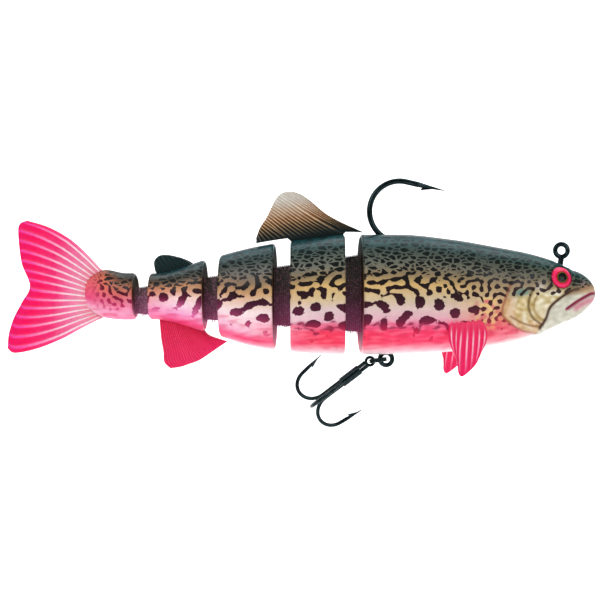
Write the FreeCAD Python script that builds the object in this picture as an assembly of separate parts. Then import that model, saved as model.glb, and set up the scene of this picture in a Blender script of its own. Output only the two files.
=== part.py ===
"""Jointed soft swimbait: five moulded segments on one woven web, a top jig hook and a belly treble.

Millimetres. +X points out of the nose, +Z out of the back, -Y out of the right flank.
The origin is the centre of the line eye, which stands above the head.
The lure is laid out straight, then each segment behind the head is turned about its web.
"""

import FreeCAD
import Part

import math
import os

V = FreeCAD.Vector

# ---- driving dimensions -------------------------------------------------------------------
BODY_LENGTH = 159.2      # nose tip to the end of the tail stub
BODY_HEIGHT = 36.8       # deepest point of the flank
BODY_WIDTH = 23.5        # widest point of the body
AXIS_Z = -13.6           # lengthwise centre line, below the line eye
EYE_STATION = 0.0666     # share of the length from the nose tip back to the line eye
OUTLINE_LENGTH = 159.2   # the body length and height for which the fins' outlines are drawn
OUTLINE_HEIGHT = 36.8
NOSE_ROUND = 7.0         # length of the rounded snout
SECTION_POWER = 2.2      # 2 is an ellipse, more is squarer
SEGMENT_EDGE = 0.9       # rounding of each segment's end edges

JOINT_STATIONS = (0.4737, 0.6084, 0.7440, 0.8806)
JOINT_BENDS = (-5.0, -5.0, -2.0, -5.0)     # degrees about +Z as the lure lies at rest
JOINT_GAP = 4.7          # between the end faces of two segments
WEB_THICKNESS = 0.7
WEB_BELOW_BACK = (6.5, 4.2)    # web's upper edge below the back, at the first and last joint
WEB_ABOVE_BELLY = (6.8, 1.4)   # its lower edge above the belly there
WEB_ANCHOR = 5.0         # depth of the web in the head and in the tail
WEB_SPLIT = 0.3          # from a joint line to each strip's end

HOOK_WIRE = 1.75         # jig hook
HOOK_STATION = 0.3826    # centre of the jig hook's bend
HOOK_BEND_RADIUS = 9.3   # to the wire's centre line
HOOK_RISE = 7.1          # bend centre above the back
HOOK_SWEEP = 179.0       # degrees turned by the bend
HOOK_POINT = 12.0        # from the end of the bend to the point
LINE_EYE_BORE = 2.4
LINE_EYE_WIRE = 1.5
NECK_FOOT = (-1.2, 4.0)  # where neck and shank meet: from the line eye, and above the centre line
NECK_BEND = 3.5

WEIGHT_LENGTH = 38.0
WEIGHT_DIAMETER = 13.0
WEIGHT_STATION = 0.236
WEIGHT_DROP = 4.9        # weight's axis below the hook shank

HANGER_WIRE = 1.4
HANGER_BORE = 2.4
HANGER_STATION = 0.409
HANGER_DROP = 1.45       # loop centre below the belly
HANGER_BEND = 6.0
WIRE_CLEARANCE = 0.02    # between wires that lie side by side
RING_WIRE = 0.6
RING_DIAMETER = 5.6      # split ring, outside
RING_PITCH = RING_WIRE + WIRE_CLEARANCE    # between its two coils
RING_TILT = 8.0          # degrees its rear edge lies below its front edge
TREBLE_EYE_BORE = 1.6
TREBLE_EYE_WIRE = 0.9
TREBLE_WIRE = 1.2
TREBLE_SHANK = 17.7      # eye centre to the start of the bends
TREBLE_BEND_RADIUS = 5.2
TREBLE_SWEEP = 172.0
TREBLE_POINT = 8.3
TREBLE_PITCH = 37.0      # degrees the shank points below straight back
TREBLE_ROLL = 56.0       # degrees of the upper hook from the left side
BRAZE_START = 4.0        # from the eye centre
BRAZE_LENGTH = 7.0
BRAZE_WALL = 0.23        # outside the three shanks

EYE_DIAMETER = 6.8
EYE_PLACE = (-1.05, -8.3)  # along and up, from the line eye
EYE_SOCKET = 1.4         # depth of the socket below the skin
EYE_SEAT = 0.25          # depth of the iris face below the skin
EYE_DOME = 1.2           # height of the clear dome above the iris

FIN_THICKNESS = 1.2
FIN_ROOT = 2.0           # how far a fin blade reaches in before it is cut to the body
FIN_CLEARANCE = 0.6      # between a fin and a segment that it only overhangs
PECTORAL_SPLAY = 20.0    # degrees from straight down
PECTORAL_STATION = 0.2620
PECTORAL_HEIGHT = -22.5
CAUDAL_STATION = 0.9425
CAUDAL_THICKNESS = 1.8

# Behind the nose, back above and belly below the centre line, half width:
# shares of the length, of the height twice, and of the width.
STATIONS = (
    (0.000, 0.171, 0.114, 0.179), (0.042, 0.201, 0.198, 0.238), (0.089, 0.291, 0.277, 0.306),
    (0.136, 0.348, 0.361, 0.366), (0.191, 0.394, 0.421, 0.426), (0.286, 0.462, 0.476, 0.481),
    (0.382, 0.500, 0.495, 0.500), (0.477, 0.500, 0.500, 0.489), (0.573, 0.457, 0.484, 0.451),
    (0.659, 0.399, 0.438, 0.400), (0.754, 0.296, 0.315, 0.328), (0.859, 0.179, 0.209, 0.247),
    (0.916, 0.182, 0.212, 0.213), (0.955, 0.209, 0.196, 0.160), (0.984, 0.160, 0.150, 0.090),
    (1.000, 0.110, 0.080, 0.050),
)


# ---- the body's outline -------------------------------------------------------------------
def station_x(share):
    """Distance along X of a share of the length behind the nose."""
    return BODY_LENGTH * (EYE_STATION - share)


def share_at(x):
    return EYE_STATION - x / BODY_LENGTH


def smooth(column, share):
    """Value of a column of STATIONS at any share, on a curve with no overshoot."""
    share = min(max(share, 0.0), 1.0)
    xs = [row[0] for row in STATIONS]
    ys = [row[column] for row in STATIONS]
    slopes = [(ys[i + 1] - ys[i]) / (xs[i + 1] - xs[i]) for i in range(len(xs) - 1)]
    grads = [slopes[0]]
    for before, after in zip(slopes, slopes[1:]):
        grads.append(2 * before * after / (before + after) if before * after > 0 else 0.0)
    grads.append(slopes[-1])
    i = max(j for j in range(len(xs) - 1) if xs[j] <= share)
    step = xs[i + 1] - xs[i]
    t = (share - xs[i]) / step
    rise = ys[i + 1] - ys[i]
    cubic = grads[i] * step + grads[i + 1] * step - 2 * rise
    return ys[i] + t * (grads[i] * step + t * (rise - grads[i] * step - cubic + t * cubic))


def snout(x):
    """Rounding of the nose: 0 at the tip, 1 from NOSE_ROUND back."""
    behind = station_x(0) - x
    if behind >= NOSE_ROUND:
        return 1.0
    return math.sqrt(max(0.0, 1 - (1 - behind / NOSE_ROUND) ** 2))


def back(x):
    return AXIS_Z + BODY_HEIGHT * smooth(1, share_at(x)) * snout(x)


def belly(x):
    return AXIS_Z - BODY_HEIGHT * smooth(2, share_at(x)) * snout(x)


def half_width(x):
    return BODY_WIDTH * smooth(3, share_at(x)) * snout(x)


def flank(x, z):
    """Half width of the body at a place and height."""
    middle, half = (back(x) + belly(x)) / 2, (back(x) - belly(x)) / 2
    across = 1 - abs((z - middle) / half) ** SECTION_POWER
    return half_width(x) * max(across, 0.0) ** (1 / SECTION_POWER)


def section(x):
    """The body's closed cross-section at x."""
    middle, half = (back(x) + belly(x)) / 2, (back(x) - belly(x)) / 2
    points = []
    for i in range(24):
        angle = 2 * math.pi * i / 24
        c, s = math.cos(angle), math.sin(angle)
        size = (abs(c) ** SECTION_POWER + abs(s) ** SECTION_POWER) ** (-1 / SECTION_POWER)
        points.append(V(x, half_width(x) * size * c, middle + half * size * s))
    curve = Part.BSplineCurve()
    curve.interpolate(points, PeriodicFlag=True)
    return Part.Wire([curve.toShape()])


def body_solid(front, rear, steps, rounded):
    """Loft between two places, with the end edges at the places in rounded softened."""
    xs = [front + (rear - front) * i / steps for i in range(steps + 1)]
    if front > station_x(0.001):
        xs = [front, front - 0.3, front - 1.0, front - 2.2, front - 4.2]
        rest = [xs[-1] + (rear - xs[-1]) * i / steps for i in range(1, steps + 1)]
        xs += rest
    solid = Part.makeLoft([section(x) for x in xs], True, False)
    edges = [e for e in solid.Edges if any(abs(e.CenterOfMass.x - r) < 0.01 for r in rounded)
             and e.BoundBox.XLength < 0.01]
    return solid.makeFillet(SEGMENT_EDGE, edges) if edges else solid


# ---- wires and hooks ----------------------------------------------------------------------
def rounded_path(points, radii):
    """Straight runs through the points, with an arc of the given radius at each inner one."""
    edges, start = [], points[0]
    for before, corner, after, radius in zip(points, points[1:], points[2:], radii):
        into, out = (corner - before).normalize(), (after - corner).normalize()
        turn = into.getAngle(out)
        reach = radius * math.tan(turn / 2)
        first, last = corner - into * reach, corner + out * reach
        towards = (out - into).normalize()
        middle = corner + towards * (radius / math.cos(turn / 2) - radius)
        edges.append(Part.LineSegment(start, first).toShape())
        edges.append(Part.Arc(first, middle, last).toShape())
        start = last
    edges.append(Part.LineSegment(start, points[-1]).toShape())
    return Part.Wire(edges)


def tube(path, diameter):
    """Round wire along a path."""
    edge = path.Edges[0]
    start = edge.valueAt(edge.FirstParameter)
    heading = edge.tangentAt(edge.FirstParameter)
    ring = Part.Wire([Part.makeCircle(diameter / 2, start, heading)])
    return path.makePipeShell([ring], True, False)


def ring_at(centre, axis, bore, wire):
    return Part.makeTorus(bore / 2 + wire / 2, wire / 2, centre, axis)


def hook(start, along, off, shank, radius, sweep, point, wire):
    """A hook's shank, bend and barbed point. The bend turns towards off."""
    side = along.cross(off)
    turn = math.radians(sweep)
    foot = start + along * shank
    centre = foot + off * radius

    def on_bend(angle):
        return centre + along * (radius * math.sin(angle)) - off * (radius * math.cos(angle))

    end, heading = on_bend(turn), along * math.cos(turn) + off * math.sin(turn)
    taper = point * 0.7
    cone_foot = end + heading * (point - taper)
    path = Part.Wire([
        Part.LineSegment(start, foot).toShape(),
        Part.Arc(foot, on_bend(turn / 2), end).toShape(),
        Part.LineSegment(end, cone_foot).toShape(),
    ])
    solid = tube(path, wire)
    solid = solid.fuse(Part.makeCone(wire / 2, wire / 16, taper, cone_foot, heading))
    inner = side.cross(heading)
    rise, root = wire * 0.42, cone_foot + heading * (taper * 0.22)
    barb = Part.makePolygon([
        root, root + heading * (wire * 2.4), root + inner * (wire / 2 + rise) - heading * rise, root])
    flat = Part.Face(barb)
    flat.translate(side * (-wire * 0.22))
    return solid.fuse(flat.extrude(side * (wire * 0.44))).removeSplitter()


# ---- fins ---------------------------------------------------------------------------------
def blade(runs, thickness):
    """Flat blade in the XZ plane. A run of two points is straight, a longer one is a curve."""
    edges = []
    for run in runs:
        points = [V(x, 0, z) for x, z in run]
        if len(points) == 2:
            edges.append(Part.LineSegment(*points).toShape())
        else:
            curve = Part.BSplineCurve()
            curve.interpolate(points)
            edges.append(curve.toShape())
    face = Part.Face(Part.Wire(Part.__sortEdges__(edges)))
    face.translate(V(0, -thickness / 2, 0))
    return face.extrude(V(0, thickness, 0))


def scaled(points, origin_share):
    """Outline points given from a place on the body, as (back of it, height), in body scale."""
    along, up = BODY_LENGTH / OUTLINE_LENGTH, BODY_HEIGHT / OUTLINE_HEIGHT
    return [(station_x(origin_share) - dx * along, dz * up) for dx, dz in points]


def over_back(points, origin_share):
    """As scaled, with heights measured from the back's line."""
    return [(x, back(x) + dz) for x, dz in scaled(points, origin_share)]


def under_belly(points, origin_share):
    return [(x, belly(x) + dz) for x, dz in scaled(points, origin_share)]


joint_x = [station_x(s) for s in JOINT_STATIONS]


def dorsal_blade():
    """Tall fin of the second segment. It overhangs both of its joints."""
    first, second = joint_x[0], joint_x[1]
    front, rear = first - JOINT_GAP / 2, second + JOINT_GAP / 2
    tip = (first + 3.0, back(first + 3.0) + FIN_CLEARANCE)
    low_rear = (second - 8.0, back(second - 8.0) + FIN_CLEARANCE)
    slope = [(4, 3.2), (11, 7.0), (14.5, 10.2), (18.5, 13.8), (22, 15.4)]
    top = [tip] + over_back(slope, JOINT_STATIONS[0])
    crown = [top[-1]] + over_back([(24.5, 13.2), (27.0, 8.6)], JOINT_STATIONS[0])
    crown.append((low_rear[0], low_rear[1] + 2.6))
    corners = [crown[-1], low_rear, (rear - 0.4, back(rear) + FIN_CLEARANCE),
               (rear + 0.6, back(rear) - FIN_ROOT), (front - 0.6, back(front) - FIN_ROOT),
               (front + 0.4, back(front) + FIN_CLEARANCE), tip]
    return blade([top, crown] + [[a, b] for a, b in zip(corners, corners[1:])], FIN_THICKNESS)


def adipose_blade():
    """Low rounded fin on the rear segment's back."""
    start = JOINT_STATIONS[2]
    lobe = [(5.0, 0.2), (9.0, 2.7), (13.0, 4.9), (16.6, 5.4), (18.2, 3.6), (17.0, 0.2)]
    top = over_back(lobe, start)
    foot = over_back([(16.0, -FIN_ROOT), (6.0, -FIN_ROOT)], start)
    return blade([top, [top[-1], foot[0]], foot, [foot[-1], top[0]]], FIN_THICKNESS)


def anal_blade():
    """Broad fin under the rear segment. Its front tip passes below the middle segment."""
    joint, start = joint_x[2], JOINT_STATIONS[2]
    root_front = joint - JOINT_GAP / 2 - 0.6
    tip = (joint + 4.9, belly(joint + 4.9) - FIN_CLEARANCE)
    lower = [tip] + under_belly([(-2.9, -2.3), (0.2, -5.7), (7.1, -10.4), (13.3, -13.8)], start)
    heel = [lower[-1]] + under_belly([(15.3, -12.7), (15.4, -8.0), (16.9, -3.4), (15.4, 0.0)], start)
    corners = [heel[-1], (heel[-1][0], belly(heel[-1][0]) + FIN_ROOT),
               (root_front, belly(root_front) + FIN_ROOT), (root_front, belly(root_front)),
               (joint, belly(joint) - FIN_CLEARANCE), tip]
    return blade([lower, heel] + [[a, b] for a, b in zip(corners, corners[1:])], FIN_THICKNESS)


def caudal_blade():
    """Forked tail fin."""
    upper = [(-1, -8.5), (4, -4.1), (11.7, 2.1), (19.5, 6.8), (27.3, 9.5), (30.2, 8.6), (30.4, 5.9)]
    fork = [upper[-1], (29.3, -3.7), (26.8, -10.9), (29.6, -16.4), (33.2, -23.7), (34.2, -29.5)]
    lower = [fork[-1], (33.6, -31.5), (31.2, -31.8), (23.4, -30.2), (15.6, -27.1), (7.8, -23.3), (-1, -18.5)]
    runs = [upper, fork, lower, [lower[-1], upper[0]]]
    return blade([scaled(run, CAUDAL_STATION) for run in runs], CAUDAL_THICKNESS)


def pectoral_blade(side):
    """Paired fin low on the head. side is -1 on the right and 1 on the left."""
    root = [(-5.6, 0.8), (-4.6, 4.0), (5.0, 1.6), (5.4, -2.0)]
    lead = [root[-1], (6.3, -2.6), (5.1, -7.8), (3.1, -11.1), (0.8, -14.4), (-2.3, -16.9), (-3.4, -16.0)]
    trail = [lead[-1], (-3.2, -12.9), (-4.3, -9.6), (-5.8, -5.8), root[0]]
    fin = blade([lead, trail] + [[a, b] for a, b in zip(root, root[1:])], FIN_THICKNESS)
    fin.rotate(V(0, 0, 0), V(1, 0, 0), side * PECTORAL_SPLAY)
    x = station_x(PECTORAL_STATION)
    fin.translate(V(x, side * (flank(x, PECTORAL_HEIGHT) - 0.2), PECTORAL_HEIGHT))
    return fin


# ---- hardware -----------------------------------------------------------------------------
hook_x = station_x(HOOK_STATION)
bend_centre = V(hook_x, 0, back(hook_x) + HOOK_RISE)
neck_foot = V(NECK_FOOT[0], 0, AXIS_Z + NECK_FOOT[1])
to_bend = bend_centre - neck_foot
lean = math.asin(HOOK_BEND_RADIUS / to_bend.Length)
shank_dir = FreeCAD.Rotation(V(0, 1, 0), -math.degrees(lean)).multVec(to_bend).normalize()
shank_up = V(0, 1, 0).cross(shank_dir)


def jig_hook():
    """Line eye, neck, shank and hook, bent from one wire."""
    shank = (bend_centre - neck_foot).dot(shank_dir)
    neck_top = V(0, 0, -(LINE_EYE_BORE + LINE_EYE_WIRE) / 2)
    split = neck_foot + shank_dir * (NECK_BEND * 2)
    neck = tube(rounded_path([neck_top, neck_foot, split], [NECK_BEND]), HOOK_WIRE)
    rear = hook(split, shank_dir, shank_up, shank - NECK_BEND * 2, HOOK_BEND_RADIUS,
                HOOK_SWEEP, HOOK_POINT, HOOK_WIRE)
    eye = ring_at(V(0, 0, 0), V(0, 1, 0), LINE_EYE_BORE, LINE_EYE_WIRE)
    bore = Part.makeCylinder(LINE_EYE_BORE / 2, HOOK_WIRE * 2, V(0, -HOOK_WIRE, 0), V(0, 1, 0))
    return neck.cut(bore).fuse([rear, eye]).removeSplitter()


def lead_weight():
    """Spindle of lead, cast round the shank."""
    centre_x = station_x(WEIGHT_STATION)
    along = (centre_x - neck_foot.x) / shank_dir.x
    centre = neck_foot + shank_dir * along - shank_up * WEIGHT_DROP
    half, thick = WEIGHT_LENGTH / 2, WEIGHT_DIAMETER / 2
    rim = []
    for i in range(9):
        angle = math.radians(12 + 156 * i / 8)
        rim.append(V(half * math.cos(angle), thick * math.sin(angle), 0))
    curve = Part.BSplineCurve()
    curve.interpolate(rim)
    foot, head = V(rim[-1].x, 0, 0), V(rim[0].x, 0, 0)
    profile = Part.Face(Part.Wire([curve.toShape(), Part.LineSegment(rim[-1], foot).toShape(),
                                   Part.LineSegment(foot, head).toShape(),
                                   Part.LineSegment(head, rim[0]).toShape()]))
    solid = profile.revolve(V(0, 0, 0), V(1, 0, 0), 360)
    solid.Placement = FreeCAD.Placement(centre, FreeCAD.Rotation(V(-1, 0, 0), shank_dir))
    return solid, centre


hanger_x = station_x(HANGER_STATION)
hanger_centre = V(hanger_x, 0, belly(hanger_x) - HANGER_DROP)


def belly_hanger(weight_centre):
    """Wire loop under the belly, whose leg runs up and forward into the weight."""
    loop = ring_at(hanger_centre, V(0, 1, 0), HANGER_BORE, HANGER_WIRE)
    leg_top = weight_centre + shank_dir * (WEIGHT_LENGTH * 0.28) - shank_up * 1.6
    leg_foot = hanger_centre + V(0, 0, (HANGER_BORE + HANGER_WIRE) / 2)
    corner = V(hanger_x, 0, leg_foot.z + (leg_top.z - leg_foot.z) * 0.4)
    leg = tube(rounded_path([leg_foot, corner, leg_top], [HANGER_BEND]), HANGER_WIRE)
    near = hanger_centre - V(0, HANGER_WIRE, 0)
    bore = Part.makeCylinder(HANGER_BORE / 2, HANGER_WIRE * 2, near, V(0, 1, 0))
    return leg.cut(bore).fuse(loop).removeSplitter()


ring_reach = RING_DIAMETER - RING_WIRE
tilt = math.radians(RING_TILT)
ring_back = V(-math.cos(tilt), 0, -math.sin(tilt))
ring_normal = V(-math.sin(tilt), 0, math.cos(tilt))
treble_eye = hanger_centre + ring_back * ring_reach


def split_ring():
    """Two coils, joined where the wire steps from one to the other."""
    centre = hanger_centre + ring_back * (ring_reach / 2)
    coils = []
    for lift in (-RING_PITCH / 2, RING_PITCH / 2):
        coils.append(Part.makeTorus(ring_reach / 2, RING_WIRE / 2, centre + ring_normal * lift, ring_normal))
    side = centre + V(0, -ring_reach / 2, 0)
    step = Part.makeCylinder(RING_WIRE * 0.4, RING_PITCH, side - ring_normal * (RING_PITCH / 2), ring_normal)
    return coils[0].fuse([coils[1], step]).removeSplitter()


pitch = math.radians(TREBLE_PITCH)
treble_along = V(-math.cos(pitch), 0, -math.sin(pitch))
treble_up = V(-math.sin(pitch), 0, math.cos(pitch))


def treble_side(number):
    """Direction in which a hook of the treble points: 0 is the upper one, 1 and 2 follow."""
    angle = math.radians(TREBLE_ROLL - 120 * number)
    return V(0, math.cos(angle), 0) + treble_up * math.sin(angle)


wire_spread = (TREBLE_WIRE / 2 + WIRE_CLEARANCE) * 2 / math.sqrt(3)


def treble_hook(number, from_eye):
    off = treble_side(number)
    start = treble_eye + treble_along * from_eye + off * wire_spread
    return hook(start, treble_along, off, TREBLE_SHANK - from_eye, TREBLE_BEND_RADIUS,
                TREBLE_SWEEP, TREBLE_POINT, TREBLE_WIRE)


def treble_double_hook():
    """Two hooks and the eye, bent from one wire."""
    eye = ring_at(treble_eye, V(0, 1, 0), TREBLE_EYE_BORE, TREBLE_EYE_WIRE)
    reach = TREBLE_EYE_BORE / 2 + TREBLE_EYE_WIRE * 0.6
    hooks = [treble_hook(number, reach) for number in (0, 1)]
    return eye.fuse(hooks).removeSplitter()


def treble_braze(wires):
    """Collar of braze round the three shanks."""
    start = treble_eye + treble_along * BRAZE_START
    radius = wire_spread + TREBLE_WIRE / 2 + BRAZE_WALL
    collar = Part.makeCylinder(radius, BRAZE_LENGTH, start, treble_along)
    rims = [e for e in collar.Edges if e.Closed]
    collar = collar.makeFillet(radius * 0.24, rims)
    return collar.cut(wires)


def eye_parts(side):
    """Iris disc and clear dome, and the socket that holds them."""
    x, z = EYE_PLACE[0], EYE_PLACE[1]
    step = 0.5
    place = V(x, side * flank(x, z), z)
    slope_x = (flank(x + step, z) - flank(x - step, z)) / (2 * step)
    slope_z = (flank(x, z + step) - flank(x, z - step)) / (2 * step)
    out = V(-slope_x, side, -slope_z).normalize()
    radius = EYE_DIAMETER / 2
    floor = place - out * EYE_SOCKET
    socket = Part.makeCylinder(radius, EYE_SOCKET * 4, floor, out)
    base = Part.makeCylinder(radius, EYE_SOCKET - EYE_SEAT, floor, out)
    ball = (radius ** 2 + EYE_DOME ** 2) / (2 * EYE_DOME)
    rim = math.degrees(math.asin((ball - EYE_DOME) / ball))
    seat = place - out * EYE_SEAT
    lens = Part.makeSphere(ball, seat - out * (ball - EYE_DOME), out, rim, 90, 360)
    return socket, base, lens


# ---- assembly -----------------------------------------------------------------------------
def web_edge(x):
    """Upper and lower height of the web at x: one straight taper."""
    first, last = joint_x[0], joint_x[3]
    share = (first - x) / (first - last)
    tops = back(first) - WEB_BELOW_BACK[0], back(last) - WEB_BELOW_BACK[1]
    lows = belly(first) + WEB_ABOVE_BELLY[0], belly(last) + WEB_ABOVE_BELLY[1]
    return tops[0] + share * (tops[1] - tops[0]), lows[0] + share * (lows[1] - lows[0])


def web_strip(front, rear):
    (top_f, low_f), (top_r, low_r) = web_edge(front), web_edge(rear)
    corners = [(front, top_f), (rear, top_r), (rear, low_r), (front, low_f)]
    return blade([[a, b] for a, b in zip(corners, corners[1:] + corners[:1])], WEB_THICKNESS)


names = ("head", "shoulder", "middle", "rear", "tail")
fronts = [station_x(0) - 0.02] + [x - JOINT_GAP / 2 for x in joint_x]
rears = [x + JOINT_GAP / 2 for x in joint_x] + [station_x(1.0)]
web_fronts = [rears[0] + WEB_ANCHOR] + [x - WEB_SPLIT for x in joint_x]
web_rears = [x + WEB_SPLIT for x in joint_x] + [fronts[4] - WEB_ANCHOR]
steps = (11, 4, 4, 4, 8)

bodies, parts = {}, {name: {} for name in names}
for i, name in enumerate(names):
    rounded = ([fronts[i]] if i else []) + ([rears[i]] if i < 4 else [])
    bodies[name] = body_solid(fronts[i], rears[i], steps[i], rounded)
    parts[name]["web_" + name] = web_strip(web_fronts[i], web_rears[i])

# the head carries the metalwork, the eyes and the paired fins
weight, weight_centre = lead_weight()
the_hook = jig_hook()
the_hanger = belly_hanger(weight_centre)
head_cuts = [the_hook, the_hanger, weight]
parts["head"]["jig_hook"] = the_hook
parts["head"]["belly_hanger"] = the_hanger.cut(the_hook)
parts["head"]["lead_weight"] = weight.cut([the_hook, the_hanger])
for side, word in ((-1, "right"), (1, "left")):
    socket, base, lens = eye_parts(side)
    head_cuts.append(socket)
    parts["head"]["eye_base_" + word] = base
    parts["head"]["eye_lens_" + word] = lens
    parts["head"]["pectoral_fin_" + word] = pectoral_blade(side).cut(bodies["head"])

parts["shoulder"]["dorsal_fin"] = dorsal_blade().cut(bodies["shoulder"])
parts["rear"]["adipose_fin"] = adipose_blade().cut(bodies["rear"])
parts["rear"]["anal_fin"] = anal_blade().cut(bodies["rear"])
parts["tail"]["caudal_fin"] = caudal_blade().cut(bodies["tail"])
for name in names:
    cuts = [parts[name]["web_" + name]] + (head_cuts if name == "head" else [])
    parts[name][name + "_body"] = bodies[name].cut(cuts)

double, third = treble_double_hook(), treble_hook(2, BRAZE_START + 0.5)
parts["ring"] = {"split_ring": split_ring()}
parts["treble"] = {"treble_double_hook": double, "treble_third_hook": third,
                   "treble_braze": treble_braze([double, third])}


def largest(shape):
    """Only the main solid of a cut that may leave crumbs."""
    return max(shape.Solids, key=lambda s: s.Volume)


os.makedirs("parts", exist_ok=True)
placement = FreeCAD.Placement()
for name in names + ("ring", "treble"):
    if name == "ring":
        placement = FreeCAD.Placement()
    elif name != "head" and name in names:
        i = names.index(name) - 1
        bend = FreeCAD.Rotation(V(0, 0, 1), JOINT_BENDS[i])
        turn = FreeCAD.Placement(V(0, 0, 0), bend, V(joint_x[i], 0, 0))
        line = placement.multVec(V(joint_x[i], 0, 0))
        placement = placement.multiply(turn)
        print(f"joint of {name}: x {line.x:.4f} y {line.y:.4f}")
    for node, shape in parts[name].items():
        solid = largest(shape).copy()
        solid.Placement = placement.multiply(solid.Placement)
        print(f"{node:20s} {solid.ShapeType} valid {solid.isValid()} {solid.Volume:10.2f} mm3")
        solid.exportStep(f"parts/{node}.step")
print("hanger", hanger_centre, "treble eye", treble_eye, "shank", shank_dir)
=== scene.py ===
import math

import bpy
import numpy as np
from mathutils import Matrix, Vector


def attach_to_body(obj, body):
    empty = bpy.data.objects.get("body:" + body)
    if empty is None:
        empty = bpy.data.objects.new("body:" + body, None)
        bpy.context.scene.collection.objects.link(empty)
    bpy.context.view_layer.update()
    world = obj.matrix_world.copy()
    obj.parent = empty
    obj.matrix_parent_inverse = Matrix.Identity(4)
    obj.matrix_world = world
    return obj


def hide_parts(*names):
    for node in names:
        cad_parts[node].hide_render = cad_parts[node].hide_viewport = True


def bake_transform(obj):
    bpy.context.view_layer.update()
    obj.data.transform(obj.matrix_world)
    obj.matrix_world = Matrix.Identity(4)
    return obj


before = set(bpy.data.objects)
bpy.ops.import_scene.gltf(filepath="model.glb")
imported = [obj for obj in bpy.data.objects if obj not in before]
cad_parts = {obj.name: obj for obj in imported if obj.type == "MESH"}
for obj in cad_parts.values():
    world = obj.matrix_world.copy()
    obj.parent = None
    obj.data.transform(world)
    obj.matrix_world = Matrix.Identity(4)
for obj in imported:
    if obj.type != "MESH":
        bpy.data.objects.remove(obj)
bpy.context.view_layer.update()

MM = 0.001               # sizes below are in millimetres, meshes in metres

# ---- sizes --------------------------------------------------------------------------------
BODY_LENGTH = 159.2
BODY_HEIGHT = 36.8
BODY_WIDTH = 23.5
AXIS_Z = -13.6
EYE_STATION = 0.0666
NOSE_ROUND = 7.0
SECTION_POWER = 2.2
SEGMENT_EDGE = 0.9
FACE_DISH = 0.35
END_RINGS = 7            # rings of faces on each end of a segment
TAIL_SHORT = 0.9         # how far the tail stub's flat end lies ahead of its tip
NET_CELL = (400.0, 820.0)  # cells of the back's fine net in a metre, along and up
JOINT_STATIONS = (0.4737, 0.6084, 0.7440, 0.8806)
JOINT_BENDS = (-5.0, -5.0, -2.0, -5.0)
JOINT_GAP = 4.7
WEB_BELOW_BACK = (6.5, 4.2)
WEB_ABOVE_BELLY = (6.8, 1.4)
WEB_PITCH = 0.56
WEB_REACH = 2.4          # how far the net is seated in each segment
THREAD = 0.10
STATIONS = np.array((
    (0.000, 0.171, 0.114, 0.179), (0.042, 0.201, 0.198, 0.238), (0.089, 0.291, 0.277, 0.306),
    (0.136, 0.348, 0.361, 0.366), (0.191, 0.394, 0.421, 0.426), (0.286, 0.462, 0.476, 0.481),
    (0.382, 0.500, 0.495, 0.500), (0.477, 0.500, 0.500, 0.489), (0.573, 0.457, 0.484, 0.451),
    (0.659, 0.399, 0.438, 0.400), (0.754, 0.296, 0.315, 0.328), (0.859, 0.179, 0.209, 0.247),
    (0.916, 0.182, 0.212, 0.213), (0.955, 0.209, 0.196, 0.160), (0.984, 0.160, 0.150, 0.090),
    (1.000, 0.110, 0.080, 0.050)))
EYE_X, EYE_Z, EYE_R = -1.05, -8.3, 3.4
SEGMENTS = ("head", "shoulder", "middle", "rear", "tail")
RINGS_PER_MM = 3.0
COLUMNS = 400


# ---- outline ------------------------------------------------------------------------------
def station_x(share):
    return BODY_LENGTH * (EYE_STATION - share)


def column(number, x):
    """Smooth value of a column of STATIONS at places x, with no overshoot."""
    share = np.clip(EYE_STATION - np.asarray(x, float) / BODY_LENGTH, 0, 1)
    xs, ys = STATIONS[:, 0], STATIONS[:, number]
    slope = np.diff(ys) / np.diff(xs)
    inner = np.where(slope[:-1] * slope[1:] > 0,
                     2 * slope[:-1] * slope[1:] / (slope[:-1] + slope[1:] + 1e-12), 0)
    grads = np.concatenate([[slope[0]], inner, [slope[-1]]])
    i = np.clip(np.searchsorted(xs, share, side="right") - 1, 0, len(xs) - 2)
    step, rise = xs[i + 1] - xs[i], ys[i + 1] - ys[i]
    t = (share - xs[i]) / step
    cubic = grads[i] * step + grads[i + 1] * step - 2 * rise
    return ys[i] + t * (grads[i] * step + t * (rise - grads[i] * step - cubic + t * cubic))


def snout(x):
    behind = np.clip((station_x(0) - np.asarray(x, float)) / NOSE_ROUND, 0, 1)
    return np.sqrt(1 - (1 - behind) ** 2)


def back(x):
    return AXIS_Z + BODY_HEIGHT * column(1, x) * snout(x)


def belly(x):
    return AXIS_Z - BODY_HEIGHT * column(2, x) * snout(x)


def half_width(x):
    return BODY_WIDTH * column(3, x) * snout(x)


def flank(x, z):
    """Half width of the body at a place and height."""
    middle, half = (back(x) + belly(x)) / 2, (back(x) - belly(x)) / 2
    across = 1 - np.abs((z - middle) / half) ** SECTION_POWER
    return half_width(x) * np.clip(across, 0, 1) ** (1 / SECTION_POWER)


def joint_chain():
    """For each segment, the matrix that carries the straight lure to the way it lies at rest."""
    chain, whole = {"head": np.eye(3)}, np.eye(3)
    for name, share, bend in zip(SEGMENTS[1:], JOINT_STATIONS, JOINT_BENDS):
        x, a = station_x(share), math.radians(bend)
        turn = np.array([[math.cos(a), -math.sin(a), x - x * math.cos(a)],
                         [math.sin(a), math.cos(a), -x * math.sin(a)], [0, 0, 1]])
        whole = whole @ turn
        chain[name] = whole.copy()
    return chain


CHAIN = joint_chain()
JOINT_X = [station_x(s) for s in JOINT_STATIONS]


def placed(points, segment):
    """Points of the straight lure in millimetres, as they lie at rest in metres."""
    points = np.asarray(points, float)
    m = CHAIN[segment]
    flat = points[:, :2] @ m[:2, :2].T + m[:2, 2]
    return np.column_stack([flat, points[:, 2]]) * MM


# ---- mesh helpers -------------------------------------------------------------------------
def ease(t):
    t = np.clip(t, 0, 1)
    return t * t * (3 - 2 * t)


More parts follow.
